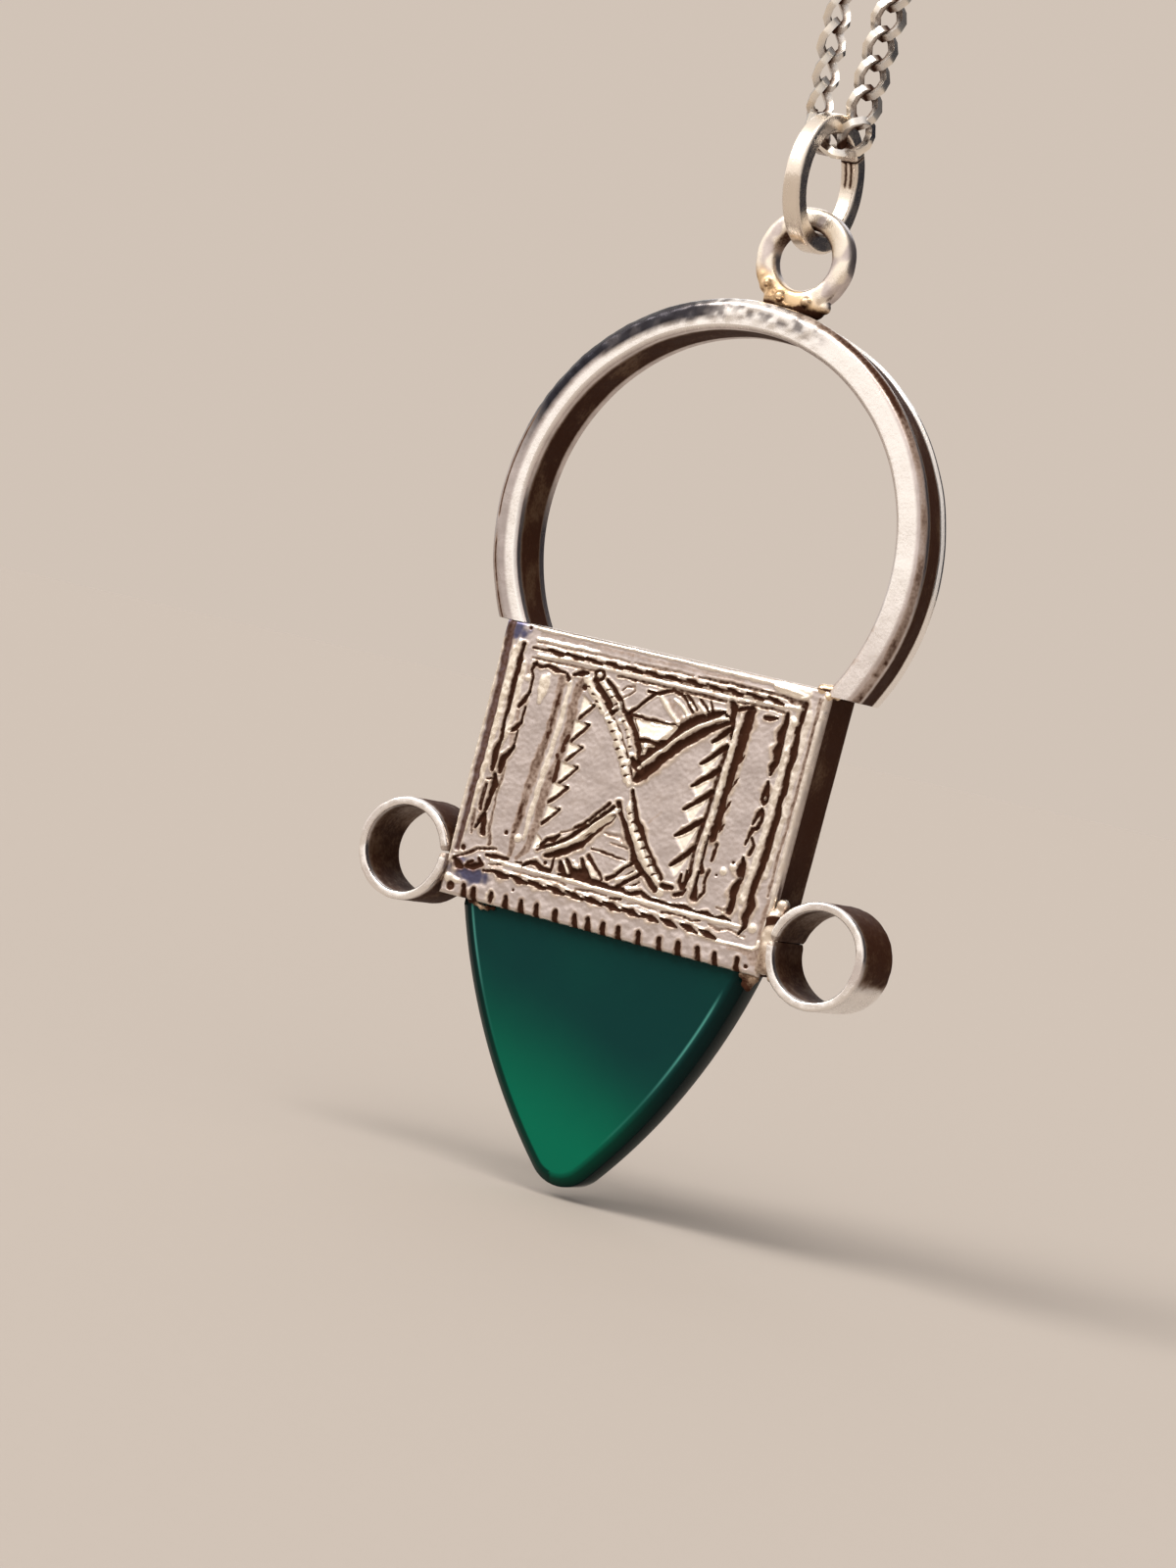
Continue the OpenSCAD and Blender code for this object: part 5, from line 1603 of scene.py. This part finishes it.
def finishes():
    """The materials, made once and found again by name."""
    if "worn silver" not in bpy.data.materials:
        colours = bpy.context.scene.necklace_colours
        group = worn_silver_group()
        silver_material("worn silver", group, colours, colours.silver, colours.stain_and_shade)
        # Its third mask lays the painted dark reflection and shade on the walls
        silver_material("dark-walled silver", group, colours, colours.silver, colours.smear_and_wall_shade,
                        colours.white_silver_and_highlight, polish=0.22)
        silver_material("soldered silver", group, colours, colours.silver, colours.solder, patch=0.6)
        silver_material("ring silver", group, colours, colours.silver, colours.stain_and_shade, patch=0.8,
                        polish=0.22)
        silver_material("chain silver", group, colours, colours.chain, colours.stain_and_shade, patch=0.5,
                        polish=0.16, relief=0.1)
        stone_material(colours.stone_shaded, colours.stone_lit, colours.stone_edge_reflection)
        paper_material(colours.floor)
    return bpy.data.materials


class NECKLACE_OT_plate(bpy.types.Operator):
    """Make the engraved front plate"""
    bl_idname = "necklace.plate"
    bl_label = "Engraved plate"

    def execute(self, context):
        plate = plate_piece(context.scene.necklace_sizes)
        cover(plate, finishes()["worn silver"])
        fasten(plate, "cross", "silver_cross")
        return {"FINISHED"}


class NECKLACE_OT_box(bpy.types.Operator):
    """Make the box behind the plate"""
    bl_idname = "necklace.box"
    bl_label = "Box"

    def execute(self, context):
        box = box_piece()
        cover(box, finishes()["dark-walled silver"])
        fasten(box, "cross", "silver_cross")
        return {"FINISHED"}


class NECKLACE_OT_hoop(bpy.types.Operator):
    """Make the hoop and the ring on its top"""
    bl_idname = "necklace.hoop"
    bl_label = "Hoop and top ring"

    def execute(self, context):
        hoop = hoop_piece(context.scene.necklace_sizes)
        cover(hoop, finishes()["dark-walled silver"])
        ring = top_ring_piece()
        cover(ring, finishes()["soldered silver"])
        for piece in (hoop, ring):
            fasten(piece, "cross", "silver_cross")
        return {"FINISHED"}


class NECKLACE_OT_tubes(bpy.types.Operator):
    """Make the side tubes and the solder that holds them"""
    bl_idname = "necklace.tubes"
    bl_label = "Side tubes"

    def execute(self, context):
        left = tube_piece("side_tube_left", TUBE_X[0], 8, 0.12, 1.0, 0)
        right = tube_piece("side_tube_right", TUBE_X[1], 174, 0.05, 2.0, 1)
        for piece in (left, right):
            cover(piece, finishes()["dark-walled silver"])
        solders = (
            tube_solder_piece("tube_solder_left", True), tube_solder_piece("tube_solder_right", False),
            mouth_solder_piece(),
        )
        for piece in solders:
            cover(piece, finishes()["soldered silver"])
        for piece in (left, right, *solders):
            fasten(piece, "cross", "silver_cross")
        return {"FINISHED"}


class NECKLACE_OT_stone(bpy.types.Operator):
    """Make the tongue of green stone"""
    bl_idname = "necklace.stone"
    bl_label = "Stone"

    def execute(self, context):
        stone = stone_piece(context.scene.necklace_sizes)
        cover(stone, finishes()["green stone"])
        fasten(stone, "cross", "stone")
        return {"FINISHED"}


class NECKLACE_OT_jump_ring(bpy.types.Operator):
    """Make the jump ring"""
    bl_idname = "necklace.jump_ring"
    bl_label = "Jump ring"

    def execute(self, context):
        ring = jump_ring_piece()
        cover(ring, finishes()["ring silver"])
        fasten(ring, "jump_ring", "jump_ring")
        return {"FINISHED"}


class NECKLACE_OT_chain(bpy.types.Operator):
    """Make the chain's links and finish its clasp and end rings"""
    bl_idname = "necklace.chain"
    bl_label = "Chain and clasp"

    def execute(self, context):
        chain = chain_piece(context.scene.necklace_sizes, finishes()["chain silver"])
        fasten(chain, "chain", "chain")
        for name in ("clasp", "end_ring_upper", "end_ring_lower"):
            cover(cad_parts[name], finishes()["chain silver"])
        return {"FINISHED"}


class NECKLACE_OT_stage(bpy.types.Operator):
    """Make the camera, the floor, the lights and the surroundings"""
    bl_idname = "necklace.stage"
    bl_label = "Stage"

    def execute(self, context):
        settings = context.scene.necklace_stage
        target = Vector(in_pendant(CAMERA_TARGET)) * MM
        add_camera(context.scene, settings, target)
        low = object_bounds()[0].z - settings.drop
        floor = floor_disc(low, finishes()["pale floor"])
        floor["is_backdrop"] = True
        for light in LIGHTS:
            add_light(*light)
        surroundings(context.scene)
        context.scene.view_settings.view_transform = "Standard"
        return {"FINISHED"}


def direction(azimuth, elevation):
    """From the object towards a viewer at that azimuth, to the right of the front, and elevation."""
    return Vector((math.sin(azimuth) * math.cos(elevation), -math.cos(azimuth) * math.cos(elevation),
                   math.sin(elevation)))


def add_camera(scene, settings, target):
    """The camera, at the photograph's viewing angle."""
    camera = placed("camera", bpy.data.cameras.new("camera"))
    back = direction(settings.azimuth, settings.elevation)
    level = (-back).to_track_quat("-Z", "Y").to_matrix()
    turned = level @ Matrix.Rotation(settings.roll, 3, "Z")
    camera.matrix_world = Matrix.Translation(target + back * settings.distance) @ turned.to_4x4()
    camera.data.lens = settings.lens
    camera.data.sensor_width = 36
    camera.data.clip_start = 0.005
    camera.data.clip_end = 20
    scene.camera = camera


def floor_disc(height, material):
    """A wide round floor at a height."""
    disc = bmesh.new()
    centre = Matrix.Translation((0, 0, height))
    bmesh.ops.create_circle(disc, cap_ends=True, segments=96, radius=FLOOR_RADIUS, matrix=centre)
    mesh = bpy.data.meshes.new("floor")
    disc.to_mesh(mesh)
    disc.free()
    floor = placed("floor", mesh)
    cover(floor, material)
    return floor


# Wide far lights: name, azimuth, elevation and angle across in degrees, strength, colour
LIGHTS = (
    ("key", -42, 40, 28, 1.95, (1.0, 0.95, 0.88)),
    ("top", 20, 68, 30, 1.05, (1.0, 0.94, 0.88)),
    ("behind", 205, 35, 40, 0.5, (0.95, 0.97, 1.0)),
)


def add_light(name, azimuth, elevation, across, strength, colour):
    """A wide far light that shines from that azimuth and elevation."""
    light = bpy.data.lights.new(name, "SUN")
    light.angle = math.radians(across)
    light.energy = strength
    light.color = colour
    towards = direction(math.radians(azimuth), math.radians(elevation))
    placed(name, light).rotation_euler = towards.to_track_quat("Z", "Y").to_euler()


def surroundings(scene):
    """Pale air to the eye. To the metal it is bright at the front and darker behind."""
    world = bpy.data.worlds.new("surroundings")
    scene.world = world
    world.use_nodes = True
    tree = world.node_tree
    tree.nodes.clear()
    way = add(tree, "ShaderNodeTexCoord").outputs["Generated"]
    front = tuple(direction(math.radians(-30), math.radians(15)))
    facing = add(tree, "ShaderNodeVectorMath", {0: way, 1: front}, operation="DOT_PRODUCT")
    glow = smooth_step(tree, facing.outputs["Value"], -0.95, 0.7)
    seen = mixed(tree, glow, (0.02, 0.021, 0.03, 1), (1.16, 1.08, 1.02, 1))
    eye = add(tree, "ShaderNodeLightPath").outputs["Is Camera Ray"]
    colour = mixed(tree, eye, seen, (0.64, 0.55, 0.475, 1))
    sky = add(tree, "ShaderNodeBackground", {0: colour, 1: 1.0})
    add(tree, "ShaderNodeOutputWorld", {0: sky.outputs[0]})


class NECKLACE_PT_panel(bpy.types.Panel):
    """The operators, with the sizes and colours that they use"""
    bl_idname = "NECKLACE_PT_panel"
    bl_label = "Cross necklace"
    bl_space_type = "VIEW_3D"
    bl_region_type = "UI"
    bl_category = "Necklace"

    def draw(self, context):
        layout = self.layout
        for operator in OPERATORS:
            layout.operator(operator.bl_idname)
        for settings in ("necklace_sizes", "necklace_colours", "necklace_stage"):
            group = getattr(context.scene, settings)
            column = layout.column()
            for key in group.__annotations__:
                column.prop(group, key)


OPERATORS = (
    NECKLACE_OT_stage, NECKLACE_OT_plate, NECKLACE_OT_box, NECKLACE_OT_hoop, NECKLACE_OT_tubes,
    NECKLACE_OT_stone, NECKLACE_OT_jump_ring, NECKLACE_OT_chain,
)
GROUPS = (NecklaceSizes, NecklaceColours, StageSettings)


def register():
    for cls in GROUPS + OPERATORS + (NECKLACE_PT_panel,):
        bpy.utils.register_class(cls)
    bpy.types.Scene.necklace_sizes = bpy.props.PointerProperty(type=NecklaceSizes)
    bpy.types.Scene.necklace_colours = bpy.props.PointerProperty(type=NecklaceColours)
    bpy.types.Scene.necklace_stage = bpy.props.PointerProperty(type=StageSettings)


def unregister():
    del bpy.types.Scene.necklace_stage
    del bpy.types.Scene.necklace_colours
    del bpy.types.Scene.necklace_sizes
    for cls in reversed(GROUPS + OPERATORS + (NECKLACE_PT_panel,)):
        bpy.utils.unregister_class(cls)


def main():
    register()
    bpy.ops.necklace.stage()
    bpy.ops.necklace.plate()
    bpy.ops.necklace.box()
    bpy.ops.necklace.hoop()
    bpy.ops.necklace.tubes()
    bpy.ops.necklace.stone()
    bpy.ops.necklace.jump_ring()
    bpy.ops.necklace.chain()


if __name__ == "__main__":
    main()
